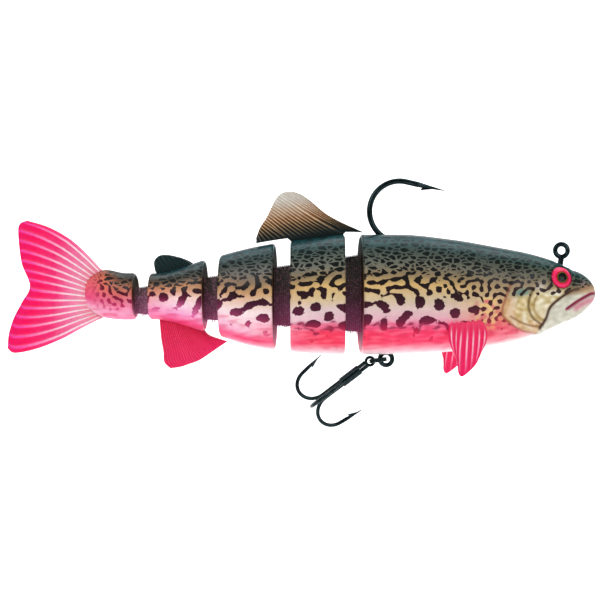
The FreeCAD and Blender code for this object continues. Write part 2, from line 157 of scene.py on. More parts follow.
def linear(share):
    """Colour values from 0 to 1 as the eye reads them, made linear."""
    return np.where(share <= 0.04045, share / 12.92, ((share + 0.055) / 1.055) ** 2.4)


def rgb(*values):
    return tuple(linear(np.array(values)).tolist()) + (1.0,)


def new_object(name, mesh):
    obj = bpy.data.objects.new(name, mesh)
    bpy.context.scene.collection.objects.link(obj)
    return obj


def make_mesh(name, points, faces, material, fields=None):
    """Smooth mesh object from arrays; fields are named values or colours, one for each point."""
    mesh = bpy.data.meshes.new(name)
    mesh.from_pydata(points.tolist(), [], faces)
    for key, values in (fields or {}).items():
        values = np.asarray(values, np.float32)
        if values.ndim == 2:
            colour = np.ones((len(values), 4), np.float32)
            colour[:, :3] = linear(np.clip(values / 255, 0, 1))
            mesh.attributes.new(key, "FLOAT_COLOR", "POINT").data.foreach_set("color", colour.reshape(-1))
        else:
            mesh.attributes.new(key, "FLOAT", "POINT").data.foreach_set("value", values)
    mesh.polygons.foreach_set("use_smooth", [True] * len(mesh.polygons))
    mesh.materials.append(material)
    return new_object(name, mesh)


def outward(points, faces):
    """The faces, turned round if the volume inside them comes out negative."""
    corners = np.array([f[:3] for f in faces] + [(f[0], f[2], f[-1]) for f in faces if len(f) > 3])
    a, b, c = (points[corners[:, i]] for i in range(3))
    return faces if np.sum(a * np.cross(b, c)) > 0 else [f[::-1] for f in faces]


def tube_faces(rows, columns):
    """Quads of a grid that closes round its columns."""
    j = np.arange(columns)
    k = (j + 1) % columns
    corners = (j, columns + j, columns + k, k)
    return np.vstack([np.column_stack(corners) + i * columns for i in range(rows - 1)]).tolist()


def sheet_faces(across, out):
    """Faces of a closed sheet: a grid, the same grid behind it, and the rim between them."""
    n = across * out
    index = np.arange(n).reshape(across, out)
    faces = []
    for i in range(across - 1):
        for j in range(out - 1):
            a, b, c, d = index[i, j], index[i + 1, j], index[i + 1, j + 1], index[i, j + 1]
            faces += [[a, b, c, d], [n + a, n + d, n + c, n + b]]
    rim = list(index[:, 0]) + list(index[-1, 1:]) + list(index[-2::-1, -1]) + list(index[0, -2:0:-1])
    return faces + [[b, a, n + a, n + b] for a, b in zip(rim, rim[1:] + rim[:1])]


def attach(piece, segment, node):
    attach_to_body(piece, segment)
    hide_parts(node)


# ---- trout pattern ------------------------------------------------------------------------
PATTERN_STEP = 0.2
PATTERN_SIZE = (900, 256)
PATTERN_START = (-155.0, -36.5)


def band(wavelength, stretch=1.0, width=0.42):
    """Share of each wave kept around one wavelength; stretch draws the pattern out along X."""
    kx = np.fft.fftfreq(PATTERN_SIZE[0], PATTERN_STEP)[:, None]
    kz = np.fft.fftfreq(PATTERN_SIZE[1], PATTERN_STEP)[None, :]
    wave = np.sqrt((kx * stretch) ** 2 + kz ** 2) * wavelength
    return np.exp(-((wave - 1) / width) ** 2)


def marks_field(seed, wavelength, stretch, bias, turns=7):
    """Field above 0 in the dark marks. A low bias leaves spots and a high one a dark net."""
    rng = np.random.default_rng(seed)
    keep = band(wavelength, stretch)
    marks = rng.normal(size=PATTERN_SIZE)
    for _ in range(turns):
        field = np.fft.ifft2(np.fft.fft2(marks) * keep).real
        field = field / field.std() + bias
        marks = np.tanh(1.1 * field) + 0.25 * rng.normal(size=PATTERN_SIZE)
    return field


def soft_field(seed, wavelength, stretch=1.0):
    """Gentle random swell with unit spread."""
    rng = np.random.default_rng(seed)
    field = np.fft.ifft2(np.fft.fft2(rng.normal(size=PATTERN_SIZE)) * band(wavelength, stretch, 0.7)).real
    return field / field.std()


def read_field(field, x, z):
    fx = np.clip((x - PATTERN_START[0]) / PATTERN_STEP, 0, PATTERN_SIZE[0] - 2)
    fz = np.clip((z - PATTERN_START[1]) / PATTERN_STEP, 0, PATTERN_SIZE[1] - 2)
    i, j = fx.astype(int), fz.astype(int)
    u, v = fx - i, fz - j
    low = field[i, j] * (1 - u) + field[i + 1, j] * u
    high = field[i, j + 1] * (1 - u) + field[i + 1, j + 1] * u
    return low * (1 - v) + high * v


FLANKS = {}
for flank_side, seed in ((-1, 40), (1, 80)):
    FLANKS[flank_side] = {
        "maze": marks_field(seed + 1, 2.6, 1.3, 0.0), "spots": marks_field(seed + 2, 4.6, 1.15, -0.30),
        "specks": marks_field(seed + 3, 2.1, 1.1, -0.22), "ragged": soft_field(seed + 4, 1.2),
        "streak": soft_field(seed + 7, 1.8, 4.0), "swell": soft_field(seed + 5, 7.0, 0.8),
        "mottle": soft_field(seed + 6, 2.2, 1.6)}


def on_flanks(name, x, y, z):
    """A named field at points of the straight lure; each flank has its own."""
    left = ease(y / 1.6 + 0.5)
    return (read_field(FLANKS[-1][name], x, z) * (1 - left) + read_field(FLANKS[1][name], x, z) * left)


def marks_at(x, y, z, fall):
    """Dark marks below the net: a broken maze, then separate blotches. Also how far the net reaches."""
    maze = on_flanks("maze", x, y, z)
    spots, specks = on_flanks("spots", x, y, z), on_flanks("specks", x, y, z)
    fall = fall + 0.03 * on_flanks("swell", x, y, z)
    small = np.maximum(ease((x + 34) / 14), ease((-126 - x) / 4))
    low = spots * (1 - small) + specks * small
    deeper = ease((fall - 0.44) / 0.12)
    fine = np.maximum(small, ease((x + 46) / 14))
    maze = maze * (1 - fine) + (specks + 0.10) * fine
    field = maze * (1 - deeper) + low * deeper
    gone = 1.6 * ease((fall - 0.755) / 0.05)
    return field + 0.20 * on_flanks("ragged", x, y, z) - gone, 1 - ease((fall - 0.27) / 0.13)


# ---- painted colours ----------------------------------------------------------------------
# For each place along the lure, rows from back to belly: share of the way down, then the red, green
# and blue of the ground and those of the marks, 0 to 255.
# The rows at 0.04 and 0.05 of the way down are a lighter teal in both ground and marks: partly the back's own
# teal, partly a painted highlight along the top of the back.
PAINT_AND_TOP_HIGHLIGHT = {
    8: ((0, 26, 60, 58, 20, 32, 30), (0.05, 34, 80, 78, 24, 56, 54), (0.22, 84, 92, 74, 26, 34, 30),
        (0.34, 112, 98, 78, 34, 32, 28), (0.46, 178, 150, 104, 60, 44, 34),
        (0.58, 206, 180, 142, 110, 80, 60), (0.75, 214, 206, 188, 180, 160, 140),
        (1, 224, 224, 216, 214, 206, 198)),
    -19: ((0, 20, 60, 62, 14, 30, 30), (0.04, 24, 70, 74, 14, 46, 50), (0.16, 72, 80, 72, 12, 22, 19),
        (0.3, 104, 98, 80, 14, 18, 16), (0.38, 150, 128, 98, 40, 26, 26), (0.52, 196, 168, 130, 44, 24, 26),
        (0.64, 214, 160, 120, 92, 36, 40), (0.74, 220, 140, 112, 150, 50, 60),
        (0.82, 232, 92, 110, 190, 40, 74), (0.91, 244, 120, 138, 226, 80, 104),
        (1, 240, 232, 228, 238, 214, 214)),
    -38: ((0, 18, 60, 64, 14, 32, 32), (0.04, 22, 72, 78, 14, 50, 54), (0.13, 66, 78, 74, 12, 24, 22),
        (0.26, 108, 106, 92, 14, 20, 18), (0.34, 140, 120, 90, 20, 20, 18),
        (0.42, 208, 172, 112, 30, 22, 22), (0.54, 204, 184, 156, 46, 22, 28),
        (0.62, 220, 192, 186, 70, 16, 40), (0.7, 226, 168, 182, 96, 18, 50),
        (0.76, 236, 110, 150, 150, 20, 66), (0.82, 246, 62, 108, 212, 32, 78),
        (0.9, 248, 70, 112, 232, 50, 92), (0.94, 250, 150, 172, 244, 120, 150),
        (1, 250, 228, 232, 250, 220, 226)),
    -74: ((0, 18, 60, 64, 14, 32, 32), (0.04, 22, 72, 78, 14, 50, 54), (0.12, 66, 80, 76, 12, 26, 24),
        (0.26, 116, 116, 104, 15, 22, 20), (0.34, 146, 126, 94, 22, 21, 19),
        (0.42, 214, 178, 116, 34, 24, 24), (0.54, 214, 190, 148, 46, 20, 28),
        (0.62, 220, 196, 196, 70, 16, 40), (0.72, 226, 180, 194, 84, 16, 46),
        (0.77, 234, 96, 132, 150, 20, 60), (0.82, 246, 60, 92, 216, 34, 66),
        (0.91, 248, 66, 96, 236, 48, 80), (0.95, 250, 170, 184, 246, 140, 160),
        (1, 250, 230, 234, 250, 224, 230)),
    -97: ((0, 18, 56, 60, 14, 30, 30), (0.04, 22, 68, 76, 14, 46, 52), (0.12, 62, 76, 74, 12, 24, 24),
        (0.26, 104, 102, 96, 16, 20, 20), (0.36, 130, 106, 84, 24, 20, 20),
        (0.46, 196, 150, 108, 36, 20, 24), (0.56, 232, 196, 176, 60, 18, 38),
        (0.66, 252, 230, 230, 104, 30, 66), (0.76, 252, 216, 226, 170, 60, 100),
        (0.86, 246, 186, 208, 232, 120, 160), (0.93, 244, 70, 120, 236, 60, 110),
        (0.97, 246, 120, 150, 240, 110, 140), (1, 250, 214, 224, 250, 204, 216)),
    -118: ((0, 14, 50, 54, 12, 28, 28), (0.04, 18, 60, 68, 12, 42, 48), (0.12, 54, 66, 64, 10, 22, 22),
        (0.22, 78, 70, 58, 16, 20, 20), (0.32, 190, 126, 80, 34, 20, 22), (0.42, 216, 158, 128, 50, 18, 28),
        (0.54, 250, 214, 214, 96, 22, 54), (0.66, 250, 210, 226, 190, 80, 130),
        (0.8, 244, 160, 206, 234, 120, 180), (0.9, 240, 90, 150, 232, 60, 130),
        (1, 244, 60, 110, 236, 50, 100)),
    -136: ((0, 30, 44, 42, 16, 26, 26), (0.12, 70, 56, 46, 20, 22, 22), (0.26, 150, 92, 66, 34, 18, 20),
        (0.42, 206, 104, 92, 70, 16, 30), (0.58, 222, 100, 122, 140, 24, 62),
        (0.72, 236, 120, 156, 196, 40, 96), (0.86, 246, 160, 196, 240, 130, 170),
        (1, 244, 120, 160, 240, 110, 150)),
    -141: ((0, 120, 72, 54, 36, 26, 26), (0.18, 210, 112, 82, 44, 22, 24),
        (0.42, 228, 112, 106, 110, 24, 44), (0.62, 232, 110, 140, 186, 36, 84),
        (0.84, 246, 160, 196, 240, 130, 170), (1, 244, 120, 160, 240, 110, 150)),
    -145: ((0, 222, 108, 104, 190, 84, 84), (0.3, 240, 104, 120, 228, 92, 110),
        (0.6, 240, 84, 132, 234, 76, 126), (0.8, 246, 160, 192, 242, 150, 184),
        (1, 250, 214, 226, 246, 204, 218))}


def painted(x, fall):
    """Ground and mark colours at places x and shares fall of the way from back to belly, with a painted
    highlight along the top of the back.
    """
    places = np.array(sorted(PAINT_AND_TOP_HIGHLIGHT), float)
    tables = []
    for place in places:
        rows = np.array(PAINT_AND_TOP_HIGHLIGHT[int(place)], float)
        tables.append([np.interp(fall, rows[:, 0], rows[:, c]) for c in range(1, 7)])
    tables = np.array(tables)
    x = np.clip(x, places[0], places[-1])
    i = np.clip(np.searchsorted(places, x, side="right") - 1, 0, len(places) - 2)
    t = ((x - places[i]) / (places[i + 1] - places[i]))[:, None]
    n = np.arange(len(x))
    both = tables[i, :, n] * (1 - t) + tables[i + 1, :, n] * t
    return both[:, :3], both[:, 3:]


def streaked(x, y, z, fall, ground):
    """Uneven dark edge above the pink belly, with streaks in the pink."""
    line = np.exp(-((fall + 0.022 * on_flanks("swell", x, y, z) - 0.775) / 0.018) ** 2)
    along = ease((-30 - x) / 8) * ease((x + 90) / 6)
    ground = over(ground, line * along * ease(on_flanks("streak", x, y, z) + 0.9) * 0.85, (126, 12, 46))
    streaks = on_flanks("streak", x, y, z) * ease((fall - 0.70) / 0.05) * ease((0.97 - fall) / 0.03)
    ground = over(ground, np.clip(streaks, 0, 1.5) * 0.13, (255, 190, 205))
    return over(ground, np.clip(-streaks, 0, 1.5) * 0.16, (214, 20, 62))


def over(base, share, colour):
    """Lays a colour over base colours."""
    share = np.clip(share, 0, 1)[:, None]
    return base * (1 - share) + np.array(colour, float) * share


# ---- relief of the head -------------------------------------------------------------------
GILL_EDGE = ((-17.8, -11.1), (-19.6, -15.9), (-20.1, -19.7), (-17.0, -22.6), (-13.0, -24.6), (-8.4, -25.4))
GILL_FOLD = ((-17.5, -20.2), (-14.0, -22.0), (-10.5, -23.0), (-7.6, -23.2))
CHEEK_EDGE = ((-10.8, -12.6), (-11.7, -15.0), (-11.9, -17.6), (-10.4, -20.6), (-7.6, -22.4))
CHEEK_INNER = ((-9.3, -14.0), (-10.2, -16.2), (-10.0, -18.6), (-8.0, -20.6), (-6.6, -21.2))
JAW_EDGE = ((4.2, -11.9), (1.6, -12.6), (-2.2, -15.0), (-5.0, -17.5), (-6.1, -20.5), (-7.8, -23.6))
LIP_LINE = ((9.6, -11.4), (6.6, -12.3), (2.0, -14.6), (-1.4, -17.4))
MOUTH = ((10.4, -13.2), (8.2, -13.5), (4.1, -15.6), (0.6, -18.0))
NOSTRIL = (5.4, -9.6)


def curve_points(points, count):
    """Evenly spaced points on a smooth curve through the given ones."""
    p = np.asarray(points, float)
    if len(p) == 2:
        t = np.linspace(0, 1, count)[:, None]
        return p[0] * (1 - t) + p[1] * t
    ends = np.vstack([2 * p[0] - p[1], p, 2 * p[-1] - p[-2]])
    fine = []
    for a, b, c, d in zip(ends, ends[1:], ends[2:], ends[3:]):
        t = np.linspace(0, 1, 24, endpoint=False)[:, None]
        fine.append(0.5 * (2 * b + (c - a) * t + (2 * a - 5 * b + 4 * c - d) * t ** 2
                           + (3 * b - a - 3 * c + d) * t ** 3))
    fine = np.vstack(fine + [p[-1:]])
    run = np.concatenate([[0], np.cumsum(np.linalg.norm(np.diff(fine, axis=0), axis=1))])
    at = np.linspace(0, run[-1], count)
    return np.column_stack([np.interp(at, run, fine[:, i]) for i in range(p.shape[1])])


def distance(x, z, points):
    """Distance from each place to a drawn line, and the side it lies on (1 is ahead of the line)."""
    line = curve_points(points, 40)
    best, side = np.full(x.shape, 1e9), np.zeros(x.shape)
    for (x0, z0), (x1, z1) in zip(line, line[1:]):
        dx, dz = x1 - x0, z1 - z0
        t = np.clip(((x - x0) * dx + (z - z0) * dz) / (dx * dx + dz * dz), 0, 1)
        ox, oz = x - x0 - t * dx, z - z0 - t * dz
        d = np.hypot(ox, oz)
        near = d < best
        best = np.where(near, d, best)
        side = np.where(near, np.sign(dx * oz - dz * ox), side)
    return best, side


def groove(x, z, points, width):
    return np.exp(-(distance(x, z, points)[0] / width) ** 2)


def plate(x, z, points, edge, fade):
    """1 just inside a plate's edge, falling away over fade, 0 outside."""
    d, side = distance(x, z, points)
    inside = d * side
    return ease(inside / edge + 0.5) * np.exp(-np.clip(inside, 0, None) / fade)


def head_relief(x, z):
    """Height of the sculpted head above its plain outline, and the masks that colour it."""
    eye = np.hypot(x - EYE_X, z - EYE_Z)
    gill, gill_side = distance(x, z, GILL_EDGE)
    jaw, jaw_side = distance(x, z, JAW_EDGE)
    mouth = groove(x, z, MOUTH, 0.42)
    edges = {"gill": groove(x, z, GILL_EDGE, 0.4), "cheek": groove(x, z, CHEEK_EDGE, 0.35),
             "inner": groove(x, z, CHEEK_INNER, 0.3), "fold": groove(x, z, GILL_FOLD, 0.3),
             "jaw": groove(x, z, JAW_EDGE, 0.38)}
    nostril = np.exp(-(np.hypot(x - NOSTRIL[0], (z - NOSTRIL[1]) * 1.3) / 0.6) ** 2)
    depth = (0.9 * edges["gill"] + 0.7 * edges["cheek"] + 0.35 * edges["inner"]
             + 0.5 * edges["fold"] + 1.0 * edges["jaw"])
    height = (0.55 * plate(x, z, GILL_EDGE, 0.7, 5.0) + 0.35 * plate(x, z, CHEEK_EDGE, 0.6, 4.0)
              + 0.22 * plate(x, z, CHEEK_INNER, 0.5, 2.0) + 0.40 * plate(x, z, JAW_EDGE, 0.6, 3.5)
              - 0.22 * depth - 0.95 * mouth + 0.28 * groove(x, z, LIP_LINE, 0.7)
              + 0.34 * np.exp(-((eye - EYE_R - 0.55) / 0.42) ** 2)
              - 1.15 * ease((EYE_R + 0.1 - eye) / 0.5) - 0.55 * nostril)
    below = np.interp(x, (-21, -16, -10, -2, 3, 11), (-15.0, -14.2, -12.4, -12.8, -11.8, -9.6)) - z
    masks = {"cover": ease(gill * gill_side / 0.8 + 0.5) * ease(below / 1.6 + 0.3),
             "chin": ease(jaw * jaw_side / 1.0 + 0.5), "mouth": np.clip(mouth * 1.3, 0, 1),
             "nostril": nostril}
    return height, masks | edges


# Soft patches on the cheek, the last of them a painted glint of light below the eye: centre x and z, slope,
# half length, half height, strength, colour.
CHEEK_PATCHES_AND_GLINT = (
    (-14.0, -12.9, 0.12, 2.6, 1.1, 0.9, (86, 132, 130)), (-8.2, -11.4, 0.0, 1.8, 1.3, 0.75, (208, 200, 196)),
    (-8.0, -17.0, 0.0, 2.2, 3.0, 0.6, (236, 234, 214)), (-3.6, -13.1, 0.0, 2.6, 0.9, 0.8, (240, 244, 236)))
PLATE_LINES = (("gill", 0.65, (140, 74, 48)), ("cheek", 0.85, (96, 72, 44)), ("inner", 0.7, (146, 116, 66)),
               ("fold", 0.75, (128, 84, 46)), ("jaw", 0.95, (58, 36, 24)))
LOWER_LIP = ((9.4, -15.2), (6.4, -16.0), (3.6, -17.6))
NOSTRIL_BLACK = (20, 22, 24)


def head_paint(x, y, z, ground, marks, m):
    """Cream and gold cheeks with a painted glint below the eye, pale chin, plate lines and pink mouth, laid
    over the flank's colours.
    """
    mottle, swell = on_flanks("mottle", x, y, z), on_flanks("swell", x, y, z)
    collar = np.exp(-((x + 24.5) / 4.5) ** 2) * ease((-13.5 - z) / 2) * ease((z + 25.5) / 3)
    ground = over(ground, collar * ease((mottle - 0.1) / 0.6) * 0.75, (236, 196, 120))
    ground = over(ground, collar * ease((-mottle - 0.35) / 0.6) * 0.6, (222, 84, 92))
    gold = np.array([206, 186, 136.0]) + mottle[:, None] * np.array([16, 19, 26.0])
    gold = over(gold, ease((z + 20.5) / -3.0) * 0.55, (214, 176, 138))
    gold = over(gold, ease((swell - 0.2) / 0.9) * ease((-13 - z) / 2) * 0.7, (236, 232, 212))
    gold = over(gold, ease((-x - 14.5) / 3.5) * 0.45, (206, 150, 112))
    ground = over(ground, m["cover"] * 0.95, 0)
    ground += gold * np.clip(m["cover"] * 0.95, 0, 1)[:, None]
    marks = over(marks, m["cover"] * ease((-14.5 - z) / 2.0) * 0.85, (150, 116, 80))
    chin = np.array([206, 203, 186.0]) + mottle[:, None] * 7.0
    chin = over(chin, ease((z + 14.2) / 2.0), (190, 158, 122))
    chin = over(chin, ease((z + 11.6) / 1.8), (120, 92, 74))
    low = np.clip(m["chin"] * ease((-9.6 - z) / 1.6), 0, 1)
    ground = over(ground, low, 0) + chin * low[:, None]
    marks = over(marks, low * 0.9, (176, 150, 124))
    streak = np.exp(-((z - (-11.6 + (x - 6) * 0.36)) / 0.8) ** 2) * ease((x + 1.5) / 2.5)
    ground = over(ground, streak * 0.55, (112, 78, 52))
    # The last of these is a painted glint, near white, just below the eye.
    for x0, z0, slope, long, high, share, colour in CHEEK_PATCHES_AND_GLINT:
        patch_or_glint = np.exp(-((x - x0) / long) ** 2 - ((z - z0 - slope * (x - x0)) / high) ** 2)
        ground = over(ground, patch_or_glint * share, colour)
    for name, share, colour in PLATE_LINES:
        ground, marks = over(ground, m[name] * share, colour), over(marks, m[name] * share, colour)
    ground = over(ground, groove(x, z, LOWER_LIP, 1.0) * 0.8, (206, 120, 142))
    ground = over(ground, m["mouth"] * 0.9, (150, 44, 78))
    marks = over(marks, m["mouth"] * 0.9, (110, 30, 60))
    ground = over(ground, np.exp(-(np.hypot(x - 6.2, z + 9.9) / 1.5) ** 2) * 0.5, (176, 140, 150))
    return over(ground, m["nostril"], NOSTRIL_BLACK), over(marks, m["nostril"], NOSTRIL_BLACK)


# ---- the five skins -----------------------------------------------------------------------
def ring_plan(segment):
    """(x, inset) of each ring of a segment from front to rear."""
    number = SEGMENTS.index(segment)
    rear = station_x(1.0) if segment == "tail" else JOINT_X[number] + JOINT_GAP / 2
    bend = np.linspace(0, math.pi / 2, 7)
    if segment == "head":
        tip = station_x(0)
        a = np.linspace(0.06, math.pi / 2, 34)
        front = [(tip - NOSE_ROUND * (1 - math.cos(t)), 0.0) for t in a]
    else:
        face = JOINT_X[number - 1] - JOINT_GAP / 2
        front = [(face - SEGMENT_EDGE * (1 - math.cos(t)), SEGMENT_EDGE * (1 - math.sin(t))) for t in bend]
    if segment == "tail":
        last = [(rear + TAIL_SHORT, 0.0)]
    else:
        last = [(rear + SEGMENT_EDGE * (1 - math.sin(t)), SEGMENT_EDGE * (1 - math.cos(t))) for t in bend]
    start, stop = front[-1][0], last[0][0]
    count = max(int(abs(start - stop) * RINGS_PER_MM), 8)
    middle = [(x, 0.0) for x in np.linspace(start, stop, count + 1)[1:-1]]
    return front + middle + last


def skin_wall(segment, plan):
    """Points of a skin's wall, ring by ring, and its fields: marks, net, ground and dark colours."""
    turn = np.linspace(0, 2 * math.pi, COLUMNS, endpoint=False)
    c, s = np.cos(turn), np.sin(turn)
    size = (np.abs(c) ** SECTION_POWER + np.abs(s) ** SECTION_POWER) ** (-1 / SECTION_POWER)
    x, inset = (np.repeat([p[i] for p in plan], COLUMNS) for i in (0, 1))
    cy, cz = np.tile(size * c, len(plan)), np.tile(size * s, len(plan))
    width, middle, half = half_width(x), (back(x) + belly(x)) / 2, (back(x) - belly(x)) / 2
    y, z = (width - inset) * cy, middle + (half - inset) * cz
    fall = 1 - (z - belly(x)) / (back(x) - belly(x))
    ground, dark = painted(x, fall)
    ground = streaked(x, y, z, fall, ground)
    field, net = marks_at(x, y, z, fall)
    if segment == "head":
        height, masks = head_relief(x, z)
        ground, dark = head_paint(x, y, z, ground, dark, masks)
        quiet = masks["cover"] * ease((-13.2 - z) / 1.5) + masks["chin"] * ease((-10 - z) / 1.5)
        field = field - 3.2 * np.clip(quiet, 0, 1)
        ny = np.sign(cy) * np.abs(cy) ** (SECTION_POWER - 1) / width
        nz = np.sign(cz) * np.abs(cz) ** (SECTION_POWER - 1) / half
        height = height * ease(np.abs(y) / 2.0) / np.hypot(ny, nz)
        y, z = y + ny * height, z + nz * height
    return np.column_stack([x, y, z]), {"marks": field, "net": net, "ground": ground, "dark": dark}


def close_end(points, fields, first, end, dish, blocks, extra):
    """Closes an end of a skin with shrinking rings round a middle point, and returns the faces."""
    rim = points[first:first + COLUMNS]
    centre = rim.mean(axis=0)
    here = np.arange(COLUMNS)
    nxt = np.roll(here, -1)
    used, previous, faces = sum(len(b) for b in blocks), first + here, []
    for step in range(1, END_RINGS):
        share = 1 - step / END_RINGS
        ring = centre + (rim - centre) * share
        ring[:, 0] += end * dish * (1 - share ** 2)
        current = used + here
        quad = (previous, previous[nxt], current[nxt], current)
        faces += np.column_stack(quad if end < 0 else (quad[1], quad[0], quad[3], quad[2])).tolist()
        blocks.append(ring)
        add_face_fields(extra, ring, fields, first, dish > 0)
        previous, used = current, used + COLUMNS
    tip = centre[None] + np.array([[end * dish, 0, 0]])
    blocks.append(tip)
    add_face_fields(extra, tip, fields, first, dish > 0)
    pair = (previous, previous[nxt]) if end < 0 else (previous[nxt], previous)
    return faces + np.column_stack(pair + (np.full(COLUMNS, used),)).tolist()


def make_skin(segment, material):
    """Closed skin of one segment; its bare end faces have the second material."""
    plan = ring_plan(segment)
    points, fields = skin_wall(segment, plan)
    faces, bare_faces = tube_faces(len(plan), COLUMNS), []
    blocks, extra = [points], {k: [v] for k, v in fields.items()}
    for end, ring in ((-1, 0), (1, len(plan) - 1)):
        bare = (segment, end) not in (("head", -1), ("tail", 1))
        mark = len(faces)
        faces += close_end(points, fields, ring * COLUMNS, end, FACE_DISH if bare else 0.0, blocks, extra)
        bare_faces += range(mark, len(faces)) if bare else ()
    at_rest = placed(np.vstack(blocks), segment)
    merged = {k: np.concatenate(v) for k, v in extra.items()}
    obj = make_mesh(segment + "_skin", at_rest, outward(at_rest, faces), material, merged)
    obj.data.materials.append(FACE)
    for number in bare_faces:
        obj.data.polygons[number].material_index = 1
    attach(obj, segment, segment + "_body")


# Colours of the bare end faces from top to bottom: share of the way down, then red, green and blue. They
# follow the flank's bands as the plastic's tint, darkened well below the flank's colours as painted shade of
# faces sunk in the gaps between segments.
FACE_TINT_AND_SHADE = np.array(((0, 22, 38, 38), (0.2, 40, 38, 28), (0.45, 78, 50, 36), (0.6, 110, 56, 60),
                       (0.78, 168, 92, 122), (0.92, 206, 150, 172), (1, 230, 190, 200)))


def add_face_fields(extra, points, fields, first, bare):
    """Fields of the points on an end: a bare face's colours, its tint darkened by painted shade, or those of
    the edge round it.
    """
    for key in extra:
        edge = fields[key][first:first + COLUMNS]
        if bare and key == "ground":
            x0 = points[:, 0].mean()
            fall = 1 - (points[:, 2] - belly(x0)) / (back(x0) - belly(x0))
            value = np.column_stack([np.interp(fall, FACE_TINT_AND_SHADE[:, 0], FACE_TINT_AND_SHADE[:, c]) for c in (1, 2, 3)])
        else:
            value = edge if len(points) == len(edge) else edge.mean(axis=0)[None]
        extra[key].append(value)


# ---- fins ---------------------------------------------------------------------------------
FIN_GRID = (180, 64)


def coons(root, margin, lead, trail):
    """Grid between four edges: root and margin run across, lead and trail run outward."""
    across, out = FIN_GRID
    b, m = (np.asarray(e) if len(e) == across else curve_points(e, across) for e in (root, margin))
    f, r = curve_points(lead, out), curve_points(trail, out)
    u = np.linspace(0, 1, across)[:, None, None]
    v = np.linspace(0, 1, out)[None, :, None]
    straight = np.linspace(0, 1, out)[:, None]
    bow_f = f - (f[0] * (1 - straight) + f[-1] * straight)
    bow_r = r - (r[0] * (1 - straight) + r[-1] * straight)
    grid = (1 - v) * b[:, None] + v * m[:, None] + (1 - u) ** 3 * bow_f[None] + u ** 3 * bow_r[None]
    return grid, np.broadcast_to(u[..., 0], grid.shape[:2]), np.broadcast_to(v[..., 0], grid.shape[:2])


RIDGE_WIDTH = 0.33       # of the way from a rib's crest to the middle of the gap beside it


def make_blade(name, grid, u, v, thickness, rays, relief, place, material, rise=None):
    """Closed thin blade over a grid, thicker along its rays. thickness is (root, margin)."""
    across, out = grid.shape[:2]
    ridge = np.exp(-(np.abs((u * rays) % 1 - 0.5) * 2 / RIDGE_WIDTH) ** 2)
    half = (thickness[0] * (1 - v) + thickness[1] * v) / 2 * (1 + relief * (ridge - 0.5))
    edge = ease(np.minimum(np.minimum(u, 1 - u) * across / 2.5, (1 - v) * out / 2.5) + 0.25)
    half = half * np.where(v < 0.02, 1, edge)
    sheets = [np.stack([grid[..., 0], sign * half, grid[..., 1]], axis=-1).reshape(-1, 3) for sign in (1, -1)]
    points = place(np.vstack(sheets))
    up = rise(grid[..., 0], grid[..., 1]) if rise else v
    fields = {"out": np.tile(up.reshape(-1), 2), "ridge": np.tile(ridge.reshape(-1), 2)}
    return make_mesh(name, points, outward(points, sheet_faces(across, out)), material, fields)


class Nodes:
    """A node tree with short ways to add, join and add up."""

    def __init__(self, tree):
        self.tree = tree

    def add(self, kind, **joined):
        node = self.tree.nodes.new(kind)
        for key, value in joined.items():
            self.join(value, node.inputs[key.replace("_", " ")])
        return node

    def join(self, value, socket):
        if isinstance(value, bpy.types.NodeSocket):
            self.tree.links.new(value, socket)
        else:
            socket.default_value = value

    def math(self, operation, a, b=0.0):
        node = self.add("ShaderNodeMath")
        node.operation = operation
        self.join(a, node.inputs[0])
        self.join(b, node.inputs[1])
        return node.outputs[0]


class Maker(Nodes):
    """A geometry nodes tree. Its mesh comes out smooth, realized and with the Finish material."""

    def __init__(self, name, inputs):
        super().__init__(bpy.data.node_groups.new(name, "GeometryNodeTree"))
        face = self.tree.interface
        self.names = {key: face.new_socket(key, in_out="INPUT", socket_type="NodeSocket" + kind).identifier
                      for key, kind in inputs}
        face.new_socket("Mesh", in_out="OUTPUT", socket_type="NodeSocketGeometry")
        self.given = self.add("NodeGroupInput").outputs

    def finish(self, mesh):
        smooth = self.add("GeometryNodeSetShadeSmooth", Geometry=mesh).outputs[0]
        real = self.add("GeometryNodeRealizeInstances", Geometry=smooth).outputs[0]
        done = self.add("GeometryNodeSetMaterial", Geometry=real, Material=self.given["Finish"]).outputs[0]
        self.add("NodeGroupOutput", Mesh=done)

    def make(self, source, values, name):
        """Applies the tree to an object and returns the result as a plain mesh object."""
        modifier = source.modifiers.new("made", "NODES")
        modifier.node_group = self.tree
        for key, value in values.items():
            modifier[self.names[key]] = value
        source.update_tag()
        bpy.context.view_layer.update()
        graph = bpy.context.evaluated_depsgraph_get()
        mesh = bpy.data.meshes.new_from_object(source.evaluated_get(graph))
        mesh.name = name
        source.modifiers.clear()
        bpy.data.objects.remove(source)
        return new_object(name, mesh)


def ray_maker():
    """Round ribs along the drawn lines of a fin, each as thick as its line's girth says."""
    m = Maker("fin_rays", (("Lines", "Geometry"), ("Rib radius", "Float"), ("Rib sides", "Int"),
                           ("Finish", "Material")))
    girth = m.add("GeometryNodeInputNamedAttribute", Name="girth")
    girth.data_type = "FLOAT"
    radius = m.math("MULTIPLY", girth.outputs["Attribute"], m.given["Rib radius"])
    lines = m.add("GeometryNodeMeshToCurve", Mesh=m.given["Lines"]).outputs[0]
    sized = m.add("GeometryNodeSetCurveRadius", Curve=lines, Radius=radius).outputs[0]
    circle = m.add("GeometryNodeCurvePrimitiveCircle", Resolution=m.given["Rib sides"], Radius=1.0)
    sweep = m.add("GeometryNodeCurveToMesh", Curve=sized, Profile_Curve=circle.outputs[0], Fill_Caps=True)
    if "Scale" in sweep.inputs:
        m.join(radius, sweep.inputs["Scale"])
    m.finish(sweep.outputs[0])
    return m


RAYS = ray_maker()
RAY_STEPS, RAY_END, RIB_SIDES = 26, 0.97, 8


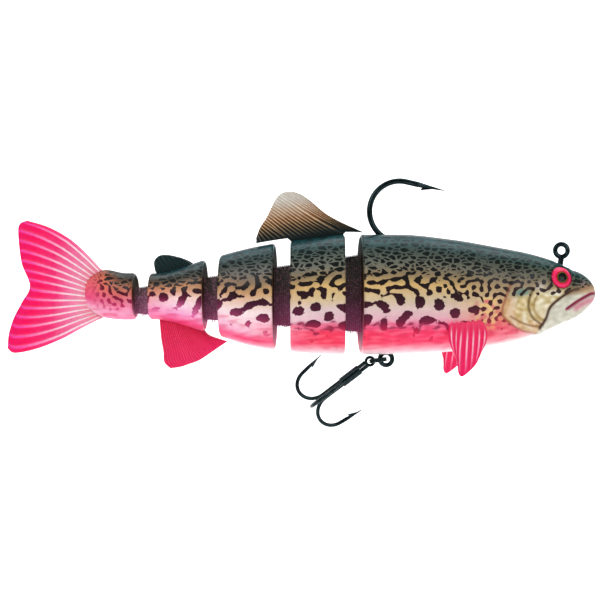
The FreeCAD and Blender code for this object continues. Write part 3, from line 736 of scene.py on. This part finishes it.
def make_rays(name, grid, count, radius, place, material, rise=None):
    """Ribs of a fin along its outward lines. Each is thick at the root and fine at the margin."""
    across, out = grid.shape[:2]
    strand = np.linspace(0.0, RAY_END, RAY_STEPS)
    points, girths, edges, outs = [], [], [], []
    for number in range(count):
        i = (number + 0.5) / count * (across - 1)
        low = min(int(i), across - 2)
        row = grid[low] * (1 - (i - low)) + grid[low + 1] * (i - low)
        x, z = (np.interp(strand * (out - 1), np.arange(out), row[:, k]) for k in (0, 1))
        start = len(points)
        points += list(np.column_stack([x, 0 * x, z]))
        girths += list((1 - 0.7 * strand) * (1 - 0.2 * ((number * 37) % 5) / 5))
        outs += list(rise(x, z) if rise else strand)
        edges += [(start + k, start + k + 1) for k in range(RAY_STEPS - 1)]
    mesh = bpy.data.meshes.new(name + "_lines")
    mesh.from_pydata(place(np.array(points)).tolist(), edges, [])
    for key, values in (("girth", girths), ("out", outs), ("ridge", [1.0] * len(outs))):
        mesh.attributes.new(key, "FLOAT", "POINT").data.foreach_set("value", np.array(values, np.float32))
    values = {"Rib radius": radius * MM, "Rib sides": RIB_SIDES, "Finish": material}
    return RAYS.make(new_object(name + "_lines", mesh), values, name)


def fin(name, segment, edges, sizes, rays, finish, node, place=None, rise=None):
    """A fin's blade and its ribs, riding together. sizes is (root, margin, ripple, rib radius)."""
    place = place or (lambda p: placed(p, segment))
    grid, u, v = coons(*edges)
    attach(make_blade(name, grid, u, v, sizes[:2], rays, sizes[2], place, finish, rise), segment, node)
    attach(make_rays(name + "_rays", grid, rays, sizes[3], place, finish, rise), segment, node)


# ---- materials ----------------------------------------------------------------------------
class Shade(Nodes):
    """A material with short ways to add the nodes it needs."""

    def __init__(self, name, **sockets):
        self.material = bpy.data.materials.new(name)
        self.material.use_nodes = True
        super().__init__(self.material.node_tree)
        self.shader = self.tree.nodes["Principled BSDF"]
        self.set(**sockets)
        self.coordinates = self.add("ShaderNodeTexCoord").outputs["Object"]

    def set(self, **sockets):
        for key, value in sockets.items():
            self.join(value, self.shader.inputs[key.replace("_", " ")])

    def read(self, name, output="Fac"):
        node = self.add("ShaderNodeAttribute")
        node.attribute_name = name
        return node.outputs[output]

    def axis(self, name):
        return self.add("ShaderNodeSeparateXYZ", Vector=self.coordinates).outputs[name]

    def noise(self, scale, detail=3.0, stretch=(1, 1, 1), output="Fac"):
        place = self.add("ShaderNodeMapping", Scale=stretch, Vector=self.coordinates).outputs[0]
        return self.add("ShaderNodeTexNoise", Scale=scale, Detail=detail, Vector=place).outputs[output]

    def spread(self, value, by, start=0.0):
        """start and by times the value."""
        return self.math("ADD", start, self.math("MULTIPLY", value, by))

    def stir(self, value, by, scale, detail):
        """The value, moved up and down by noise."""
        return self.spread(self.math("SUBTRACT", self.noise(scale, detail), 0.5), by, value)

    def cells(self):
        """Field of the fine net: above 0 in small flat cells, below it on the lines between them."""
        bend = self.add("ShaderNodeMix", Factor=CELL_BEND)
        bend.data_type = "VECTOR"
        self.join(self.coordinates, bend.inputs[4])
        self.join(self.noise(500, 2.0, output="Color"), bend.inputs[5])
        scale = (NET_CELL[0], NET_CELL[0], NET_CELL[1])
        place = self.add("ShaderNodeMapping", Scale=scale, Vector=bend.outputs[1]).outputs[0]
        cell = self.add("ShaderNodeTexVoronoi")
        cell.feature = "DISTANCE_TO_EDGE"
        cell.inputs["Scale"].default_value = 1.0
        self.join(place, cell.inputs["Vector"])
        line = self.math("MULTIPLY", self.math("SUBTRACT", cell.outputs["Distance"], CELL_LINE), 6.0)
        return self.spread(self.math("SUBTRACT", self.noise(420, 3.0), 0.45), 1.1, line)

    def ramp(self, value, stops):
        """Colour ramp through (place, colour as the eye reads it)."""
        node = self.add("ShaderNodeValToRGB", Fac=value)
        points = node.color_ramp.elements
        points.remove(points[1])
        points[0].position, points[0].color = stops[0][0], rgb(*stops[0][1])
        for place, colour in stops[1:]:
            points.new(place).color = rgb(*colour)
        return node.outputs[0]

    def mix(self, share, a, b, mode="MIX"):
        node = self.add("ShaderNodeMix")
        node.data_type, node.blend_type = "RGBA", mode
        for value, socket in ((share, node.inputs["Factor"]), (a, node.inputs[6]), (b, node.inputs[7])):
            self.join(value, socket)
        return node.outputs[2]

    def step(self, value, low, high):
        node = self.add("ShaderNodeMapRange", Value=value, From_Min=low, From_Max=high)
        node.interpolation_type = "SMOOTHSTEP"
        return node.outputs["Result"]

    def bump(self, height, millimetres, strength, **after):
        return self.add("ShaderNodeBump", Distance=millimetres * MM, Strength=strength, Height=height,
                        **after).outputs["Normal"]


CELL_BEND, CELL_LINE = 0.0011, 0.125


def skin_material(name):
    """Painted soft plastic: ground colour and dark marks from the mesh, edges broken up by noise."""
    m = Shade(name, Coat_Weight=0.10, Coat_Roughness=0.10, IOR=1.4, Specular_IOR_Level=0.16)
    marks, net = m.stir(m.read("marks"), 0.3, 1300, 2.0), m.read("net")
    marks = m.math("ADD", m.math("MULTIPLY", m.cells(), net),
                   m.math("MULTIPLY", marks, m.math("SUBTRACT", 1.0, net)))
    spot = m.step(marks, -0.10, 0.22)
    ground = m.mix(1.0, m.read("ground", "Color"), m.spread(m.noise(700, 4.0), 0.28, 0.86), "MULTIPLY")
    fine = m.bump(m.noise(2600, 3.0), 0.04, 0.3)
    m.set(Base_Color=m.mix(spot, ground, m.read("dark", "Color")),
          Roughness=m.spread(m.noise(800), 0.2, 0.24),
          Normal=m.bump(m.math("SUBTRACT", 1.0, spot), 0.04, 0.3, Normal=fine))
    return m.material


def face_material():
    """End faces: bare tinted plastic with painted shade in its colours, dull and a little rough."""
    m = Shade("segment_face", Roughness=0.8, Specular_IOR_Level=0.05)
    blot = m.spread(m.noise(260, 4.0), 0.5, 0.75)
    m.set(Base_Color=m.mix(1.0, m.read("ground", "Color"), blot, "MULTIPLY"),
          Normal=m.bump(m.noise(1200), 0.06, 0.4))
    return m.material


def fin_material(name, gap, ray, wander, clear=0.0):
    """Soft plastic fin. gap and ray are colours from root to margin, between rays and on them."""
    m = Shade(name, Coat_Weight=0.15, Coat_Roughness=0.15, IOR=1.4, Specular_IOR_Level=0.2,
              Transmission_Weight=clear)
    out = m.stir(m.read("out"), wander, 300, 2.0)
    on_ray = m.step(m.stir(m.read("ridge"), 0.3, 900, 2.0), 0.25, 0.85)
    layers = [m.ramp(out, [(place, [v / 255 for v in colour]) for place, colour in layer])
              for layer in (gap, ray)]
    grain = m.spread(m.noise(900, 4.0), 0.24, 0.88)
    m.set(Base_Color=m.mix(1.0, m.mix(on_ray, *layers), grain, "MULTIPLY"),
          Roughness=m.spread(m.noise(900, 2.0), 0.14, 0.32), Normal=m.bump(m.noise(2200, 2.0), 0.04, 0.3))
    return m.material


def metal_material():
    """Polished black nickel with fine drawing marks."""
    m = Shade("black_nickel", Metallic=1.0)
    m.set(Base_Color=m.ramp(m.noise(500), [(0.35, (0.10, 0.15, 0.155)), (0.65, (0.17, 0.22, 0.235))]),
          Roughness=m.spread(m.noise(2500, 4.0, (0.15, 1, 1)), 0.16, 0.12),
          Normal=m.bump(m.noise(3500, 2.0, (0.1, 1, 1)), 0.01, 0.3))
    return m.material


WEB_HEIGHT = 26.0        # of the web from the plum below to the near black above


def web_material(name, lift):
    """Net thread, near black above and plum below; lift lightens the threads over the film."""
    m = Shade(name, Roughness=0.55, Sheen_Weight=0.2)
    height = m.spread(m.axis("Z"), 1000.0 / WEB_HEIGHT, 1.0)
    stops = ((0.0, (0.74, 0.30, 0.54)), (0.25, (0.60, 0.28, 0.46)), (0.50, (0.36, 0.24, 0.27)),
             (0.72, (0.24, 0.25, 0.20)), (0.9, (0.13, 0.16, 0.14)))
    colour = m.ramp(m.stir(height, 0.3, 300, 2.0), [(place, [v + lift for v in c]) for place, c in stops])
    fleck = m.math("MULTIPLY", m.step(m.noise(1700, 1.0), 0.52, 0.66), 0.75)
    fleck = m.math("MULTIPLY", fleck, m.step(m.math("SUBTRACT", 1.0, height), -0.2, 0.45))
    m.set(Base_Color=m.mix(fleck, colour, rgb(0.74, 0.50, 0.62)),
          Normal=m.bump(m.noise(4000, 2.0), 0.03, 0.5))
    return m.material


# Rings of the iris from the pupil out: share of the eye's radius, colour.
IRIS_RINGS = ((0.0, (0.0, 0.01, 0.01)), (0.40, (0.01, 0.02, 0.01)), (0.44, (0.52, 0.42, 0.16)),
              (0.50, (0.36, 0.02, 0.08)), (0.56, (0.86, 0.08, 0.26)), (0.74, (0.95, 0.20, 0.42)),
              (0.90, (0.93, 0.14, 0.36)), (0.99, (0.62, 0.05, 0.18)))


def iris_material(name, gloss):
    """Red printed iris with a plain round pupil, as it shows through its dome."""
    m = Shade(name, Roughness=0.4, Coat_Weight=gloss, Coat_Roughness=0.03, Specular_IOR_Level=0.1)
    dx, dz = (m.math("SUBTRACT", m.axis(a), at * MM) for a, at in (("X", EYE_X), ("Z", EYE_Z)))
    far = m.math("SQRT", m.math("ADD", m.math("MULTIPLY", dx, dx), m.math("MULTIPLY", dz, dz)))
    share = m.stir(m.math("DIVIDE", far, EYE_R * MM), 0.12, 1500, 3.0)
    m.set(Base_Color=m.ramp(share, IRIS_RINGS), Normal=m.bump(m.noise(2500, 2.0), 0.03, 0.3))
    return m.material


def lead_material():
    m = Shade("lead", Metallic=0.7, Roughness=0.6)
    m.set(Base_Color=m.ramp(m.noise(300, 4.0), [(0.3, (0.30, 0.31, 0.33)), (0.7, (0.45, 0.46, 0.48))]),
          Normal=m.bump(m.noise(900, 4.0), 0.1, 0.5))
    return m.material


HEAD_SKIN, BODY_SKIN, FACE = skin_material("head_skin"), skin_material("body_skin"), face_material()
PINK_FIN = fin_material(
    "pink_fin",
    [(0.0, (240, 70, 110)), (0.3, (238, 34, 92)), (1.0, (236, 24, 92))],
    [(0.0, (240, 70, 110)), (0.22, (242, 70, 116)), (0.42, (255, 190, 210)), (0.72, (255, 150, 190)),
     (0.95, (240, 50, 120)), (1.0, (238, 34, 100))], 0.15)
ANAL_FIN = fin_material(
    "anal_fin_pink",
    [(0.0, (222, 40, 84)), (1.0, (232, 26, 88))],
    [(0.0, (240, 70, 110)), (1.0, (240, 50, 112))], 0.15)
TAIL_FIN = fin_material(
    "tail_fin_pink",
    [(0.0, (240, 140, 160)), (0.14, (240, 140, 172)), (0.32, (242, 106, 156)), (0.52, (246, 44, 118)),
     (0.8, (252, 2, 92)), (1.0, (242, 4, 100))],
    [(0.0, (250, 216, 222)), (0.12, (255, 240, 244)), (0.36, (255, 220, 232)), (0.6, (252, 140, 188)),
     (0.85, (248, 70, 166)), (1.0, (246, 40, 150))], 0.1)
DORSAL_FIN = fin_material(
    "dorsal_fin",
    [(0.0, (6, 22, 24)), (0.22, (8, 22, 20)), (0.36, (56, 36, 20)), (0.54, (136, 86, 46)),
     (0.74, (178, 144, 114)), (1.0, (206, 196, 184))],
    [(0.0, (10, 30, 32)), (0.1, (40, 52, 48)), (0.26, (150, 126, 94)), (0.44, (222, 188, 142)),
     (0.7, (240, 222, 200)), (1.0, (236, 236, 228))], 0.1, clear=0.15)
DARK_FIN = fin_material(
    "dark_fin",
    [(0.0, (14, 34, 36)), (1.0, (12, 32, 34))],
    [(0.0, (20, 46, 48)), (1.0, (30, 62, 62))], 0.1)
BLACK_NICKEL, NET, FILM = metal_material(), web_material("net_thread", 0.10), web_material("net_film", 0.0)


# ---- making the pieces --------------------------------------------------------------------
for segment in SEGMENTS:
    make_skin(segment, HEAD_SKIN if segment == "head" else BODY_SKIN)


DORSAL_SLANT = math.radians(33.0)


def dorsal_edges():
    """Edges whose root points lie down the slant from the margin's, so that the rays run parallel."""
    lead = [(-62.0, 5.3), (-64.7, 6.4), (-68.2, 7.9), (-71.4, 9.8), (-74.5, 12.2), (-77.3, 14.8),
            (-80.5, 17.1)]
    margin = curve_points([lead[-1], (-83.5, 18.0), (-86.4, 17.5), (-88.3, 15.7), (-89.7, 13.0), (-91.3, 9.8),
                           (-93.2, 6.8), (-94.4, 3.6)], FIN_GRID[0])
    lift = np.interp(margin[:, 0], (-94, -84), (0.3, 0.0))
    root_x = np.clip(margin[:, 0] + (margin[:, 1] - 4.0) / math.tan(DORSAL_SLANT), -94.2, -62.0)
    root_x = np.minimum(root_x, np.linspace(-62.0, -94.2, len(root_x)) + 12)
    over_gap = np.interp(root_x, (-94, -84.6, -83.4, -68, -67, -62), (0.7, 0.7, -0.5, -0.5, 0.7, 0.7))
    root = np.column_stack([root_x, back(root_x) + over_gap + lift])
    root[0] = lead[0]
    return root, margin, lead, [root[-1], margin[-1]]


def dorsal_rise(x, z):
    """Height above the back as a share of the fin's height."""
    return np.clip((z - back(x)) / 13.0, 0, 1)


fin("dorsal_blade", "shoulder", dorsal_edges(), (1.5, 0.45, 0.4, 0.20), 26, DORSAL_FIN,
    "dorsal_fin", rise=dorsal_rise)


def adipose_edges():
    root_x = np.linspace(-113.4, -125.0, 8)
    root = np.column_stack([root_x, back(root_x) - 0.5])
    lead = [root[0], (-115.2, -3.2), (-117.8, -2.2)]
    margin = [lead[-1], (-121.5, -1.4), (-124.4, -1.6), (-126.0, -3.2), (-126.0, -5.0)]
    trail = [root[-1], (-125.7, -6.4), margin[-1]]
    return root, margin, lead, trail


fin("adipose_blade", "rear", adipose_edges(), (1.6, 0.8, 0.5, 0.25), 8, DARK_FIN, "adipose_fin")


def anal_edges():
    root_x = np.linspace(-110.4, -124.4, 8)
    root = np.column_stack([root_x, belly(root_x) + 0.5])
    corner = belly(-103.2) - 0.75
    lead = [root[0], (-108.8, belly(-108.8) - 0.7), (-106, belly(-106) - 0.8), (-103.2, corner)]
    margin = [lead[-1], (-104.9, -29.1), (-108.0, -31.2), (-111.8, -33.7), (-114.9, -34.9),
              (-118.0, -35.9), (-121.0, -36.3)]
    trail = [root[-1], (-123.9, -27.0), (-123.2, -31.0), (-122.9, -34.4), margin[-1]]
    return root, margin, lead, trail


fin("anal_blade", "rear", anal_edges(), (1.6, 0.7, 0.5, 0.24), 26, ANAL_FIN, "anal_fin")


def caudal_edges():
    root = [(-142.6, -6.2), (-146.4, -8.6), (-147.6, -13.0), (-146.4, -18.0), (-142.6, -20.8)]
    lead = [root[0], (-147.4, -1.2), (-153.0, 3.6), (-160.0, 7.4), (-167.0, 9.5)]
    margin = [lead[-1], (-169.4, 8.4), (-169.9, 5.0), (-168.8, -3.7), (-166.1, -10.9), (-168.7, -16.0),
              (-171.4, -21.0), (-173.0, -26.0), (-173.4, -30.4)]
    trail = [root[-1], (-149.0, -23.9), (-156.0, -27.5), (-164.0, -30.5), (-171.0, -31.8), margin[-1]]
    return root, margin, lead, trail


fin("caudal_blade", "tail", caudal_edges(), (2.6, 0.9, 0.35, 0.45), 14, TAIL_FIN, "caudal_fin")

PECTORAL_X, PECTORAL_Z, PECTORAL_SPLAY = station_x(0.2620), -22.5, 20.0


def pectoral_place(side):
    """Carries the fin's flat outline to its seat low on the head's flank."""
    angle = math.radians(side * PECTORAL_SPLAY)
    seat = side * (float(flank(PECTORAL_X, PECTORAL_Z)) - 0.2)

    def place(points):
        y = points[:, 1] * math.cos(angle) - points[:, 2] * math.sin(angle)
        z = points[:, 1] * math.sin(angle) + points[:, 2] * math.cos(angle)
        return np.column_stack([points[:, 0] + PECTORAL_X, y + seat, z + PECTORAL_Z]) * MM
    return place


PECTORAL_EDGES = (
    [(5.4, 0.0), (2.0, 2.0), (-2.0, 2.4), (-5.0, 2.2)],
    [(3.6, -10.0), (2.4, -12.6), (0.2, -15.0), (-2.3, -16.8), (-3.4, -15.6), (-3.4, -12.9), (-4.0, -10.6)],
    [(5.4, 0.0), (6.2, -2.6), (5.6, -6.2), (3.6, -10.0)],
    [(-5.0, 2.2), (-5.6, -1.6), (-5.6, -5.8), (-4.0, -10.6)])
for side, word in ((-1, "right"), (1, "left")):
    fin("pectoral_blade_" + word, "head", PECTORAL_EDGES, (1.4, 0.7, 0.5, 0.36), 7, PINK_FIN,
        "pectoral_fin_" + word, place=pectoral_place(side))


# ---- woven web ----------------------------------------------------------------------------
STRAND_STEPS = 4.0       # points on a strand for each thread it crosses
THREAD_SIDES = 6
FRAY = (0.35, 0.25)      # long and short waves of the net's lower edge


def net_maker():
    """A plain weave of round threads in the XZ plane, from the origin up and along."""
    m = Maker("woven_net", (("Start", "Geometry"), ("Width", "Float"), ("Height", "Float"),
                            ("Pitch", "Float"), ("Thread radius", "Float"), ("Threads along", "Int"),
                            ("Threads up", "Int"), ("Finish", "Material")))
    pitch, radius = m.given["Pitch"], m.given["Thread radius"]
    profile = m.add("GeometryNodeCurvePrimitiveCircle", Resolution=THREAD_SIDES, Radius=radius).outputs[0]
    both = m.add("GeometryNodeJoinGeometry")
    for step, end, count, other, reach, sign in (("X", "Z", "Threads along", "Threads up", "Height", 1.0),
                                                 ("Z", "X", "Threads up", "Threads along", "Width", -1.0)):
        offset = m.add("ShaderNodeCombineXYZ", **{step: pitch}).outputs[0]
        line = m.add("GeometryNodeMeshLine", Count=m.given[count], Offset=offset).outputs[0]
        far = m.add("ShaderNodeCombineXYZ", **{end: m.given[reach]}).outputs[0]
        strand = m.add("GeometryNodeCurvePrimitiveLine", End=far).outputs[0]
        steps = m.math("MULTIPLY", m.given[other], STRAND_STEPS)
        fine = m.add("GeometryNodeResampleCurve", Curve=strand, Count=steps).outputs[0]
        copies = m.add("GeometryNodeInstanceOnPoints", Points=line, Instance=fine).outputs[0]
        real = m.add("GeometryNodeRealizeInstances", Geometry=copies).outputs[0]
        here = m.add("ShaderNodeSeparateXYZ", Vector=m.add("GeometryNodeInputPosition").outputs[0])
        waves = [m.math("COSINE", m.math("DIVIDE", m.math("MULTIPLY", here.outputs[axis], math.pi), pitch))
                 for axis in "XZ"]
        lift = m.math("MULTIPLY", m.math("MULTIPLY", *waves), m.math("MULTIPLY", radius, sign))
        shift = m.add("ShaderNodeCombineXYZ", Y=lift).outputs[0]
        moved = m.add("GeometryNodeSetPosition", Geometry=real, Offset=shift).outputs[0]
        sweep = m.add("GeometryNodeCurveToMesh", Curve=moved, Profile_Curve=profile, Fill_Caps=True)
        m.join(sweep.outputs[0], both.inputs[0])
    m.finish(both.outputs[0])
    return m


WEAVE = net_maker()


def web_edge(x):
    first, last = JOINT_X[0], JOINT_X[3]
    share = (first - x) / (first - last)
    tops = back(first) - WEB_BELOW_BACK[0], back(last) - WEB_BELOW_BACK[1]
    lows = belly(first) + WEB_ABOVE_BELLY[0], belly(last) + WEB_ABOVE_BELLY[1]
    return tops[0] + share * (tops[1] - tops[0]), lows[0] + share * (lows[1] - lows[0])


def bent_between(points, x_joint, front, rear):
    """Points near a joint, carried from the straight lure and shared between its two segments."""
    reach = JOINT_GAP / 2
    t = np.clip((x_joint + reach - points[:, 0]) / (2 * reach), 0, 1)
    w = (t * t * (3 - 2 * t))[:, None]
    return placed(points, front) * (1 - w) + placed(points, rear) * w


def web_net(number, name, start, length):
    """The woven net of one joint, on the straight lure. Its lower edge is a little ragged."""
    top, low = web_edge(JOINT_X[number])
    along, up = int(length / WEB_PITCH) + 1, int((top - low) / WEB_PITCH) + 1
    width, height = (along - 1) * WEB_PITCH, (up - 1) * WEB_PITCH
    seed = bpy.data.meshes.new("net_seed")
    seed.from_pydata([(0, 0, 0)], [], [])
    values = {"Width": width, "Height": height, "Pitch": WEB_PITCH, "Thread radius": THREAD,
              "Threads along": along, "Threads up": up, "Finish": NET}
    obj = WEAVE.make(new_object("net_seed", seed), values, name)
    co = np.empty(len(obj.data.vertices) * 3)
    obj.data.vertices.foreach_get("co", co)
    co = co.reshape(-1, 3)
    x, share = start - co[:, 0] / width * length, co[:, 2] / height
    edge_top, edge_low = web_edge(x)
    fray = FRAY[0] * np.sin(x * 2.9 + number) + FRAY[1] * np.sin(x * 7.3)
    z = edge_low + fray * (1 - share) + (edge_top - edge_low - fray * (1 - share)) * share
    return obj, np.column_stack([x, co[:, 1], z])


def web_film(start, length):
    """Points of a thin closed film in the middle of the net, on the straight lure."""
    across, up = FILM_GRID
    u, v = np.meshgrid(np.linspace(0, 1, across), np.linspace(0, 1, up), indexing="ij")
    x = (start - u * length).reshape(-1)
    edge_top, edge_low = web_edge(x)
    z = edge_low + 0.3 + (edge_top - edge_low - 0.5) * v.reshape(-1)
    return np.vstack([np.column_stack([x, 0 * x + side * FILM_HALF, z]) for side in (1, -1)])


FILM_GRID, FILM_HALF = (17, 40), 0.05


def make_web(number):
    """Net and film across one joint, bending between the two segments."""
    front, rear, x_joint = SEGMENTS[number], SEGMENTS[number + 1], JOINT_X[number]
    length = JOINT_GAP + 2 * WEB_REACH
    start = x_joint + length / 2
    net, points = web_net(number, "web_net_" + front + "_" + rear, start, length)
    at_rest = bent_between(points, x_joint, front, rear)
    net.data.vertices.foreach_set("co", at_rest.astype(np.float32).reshape(-1))
    net.data.update()
    at_rest = bent_between(web_film(start, length), x_joint, front, rear)
    faces = outward(at_rest, sheet_faces(*FILM_GRID))
    film = make_mesh("web_film_" + front + "_" + rear, at_rest, faces, FILM)
    nodes = ("web_head", "web_shoulder") if number == 0 else ("web_" + rear,)
    for piece in (net, film):
        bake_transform(piece)
        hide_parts(*nodes)


for number in range(4):
    make_web(number)


# ---- metalwork and eyes keep their CAD shapes ---------------------------------------------
def finish_node(node, material):
    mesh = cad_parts[node].data
    mesh.materials.clear()
    mesh.materials.append(material)


for node in ("jig_hook", "belly_hanger", "split_ring", "treble_double_hook", "treble_third_hook",
             "treble_braze"):
    finish_node(node, BLACK_NICKEL)
finish_node("lead_weight", lead_material())
IRIS, DOME = iris_material("iris", 0.1), iris_material("eye_dome", 0.2)
for word in ("left", "right"):
    finish_node("eye_base_" + word, IRIS)
    finish_node("eye_lens_" + word, DOME)


# ---- stage, light and camera --------------------------------------------------------------
FLOOR_Z, SWEEP_START, SWEEP_RADIUS, STAGE_HALF = -0.115, 0.7, 0.5, 1.6    # metres


def studio_floor():
    """Floor that sweeps up into a backdrop behind the lure, which glows a little there."""
    mesh = bpy.data.meshes.new("studio_floor")
    profile = [(-1.2, FLOOR_Z), (SWEEP_START, FLOOR_Z)]
    profile += [(SWEEP_START + SWEEP_RADIUS * math.sin(a), FLOOR_Z + SWEEP_RADIUS * (1 - math.cos(a)))
                for a in np.linspace(0.1, math.pi / 2, 14)]
    profile += [(SWEEP_START + SWEEP_RADIUS, FLOOR_Z + 1.6)]
    points = [(x, y, z) for y, z in profile for x in (-STAGE_HALF, STAGE_HALF)]
    faces = [(2 * i, 2 * i + 1, 2 * i + 3, 2 * i + 2) for i in range(len(profile) - 1)]
    mesh.from_pydata(points, [], faces)
    mesh.polygons.foreach_set("use_smooth", [True] * len(faces))
    m = Shade("studio_white", Roughness=0.9, Emission_Color=(1, 1, 1, 1), Base_Color=rgb(0.97, 0.97, 0.97))
    m.set(Emission_Strength=m.math("MULTIPLY", m.step(m.axis("Y"), 0.0, 0.10), 0.95))
    mesh.materials.append(m.material)
    new_object("studio_floor", mesh)


def area_light(name, place, target, size, power):
    light = bpy.data.lights.new(name, "AREA")
    light.shape, light.size, light.size_y, light.energy = "RECTANGLE", size[0], size[1], power
    obj = new_object(name, light)
    obj.location = place
    obj.rotation_euler = (Vector(target) - Vector(place)).to_track_quat("-Z", "Y").to_euler()


studio_floor()
# Name, place, size and power of each softbox; all face the middle of the lure.
SOFTBOXES = (("top_softbox", (-0.08, 0.12, 0.60), (0.9, 0.35), 4.2),
             ("front_left", (-0.65, -0.60, 0.40), (0.5, 0.5), 3.1),
             ("front_right", (0.50, -0.68, 0.34), (0.5, 0.5), 2.9))
for name, place, size, power in SOFTBOXES:
    area_light(name, place, (-0.081, 0.0, -0.0153), size, power)
world = bpy.context.scene.world or bpy.data.worlds.new("studio")
bpy.context.scene.world = world
world.use_nodes = True
world.node_tree.nodes["Background"].inputs["Color"].default_value = (1, 1, 1, 1)
world.node_tree.nodes["Background"].inputs["Strength"].default_value = 0.16

CAMERA_AWAY, CAMERA_TURN, IMAGE_WIDTH = 0.700, math.radians(-5.0), 0.18336
aim = Vector((-0.080978, 0.000094, -0.015278))
camera = new_object("camera", bpy.data.cameras.new("camera"))
camera.location = aim + CAMERA_AWAY * Vector((math.sin(CAMERA_TURN), -math.cos(CAMERA_TURN), 0))
camera.rotation_euler = (math.pi / 2, 0, CAMERA_TURN)
camera.data.sensor_width = 36.0
camera.data.lens = 36.0 * CAMERA_AWAY / IMAGE_WIDTH
camera.data.clip_start, camera.data.clip_end = 0.01, 20
bpy.context.scene.camera = camera
bpy.context.scene.view_settings.view_transform = "Standard"
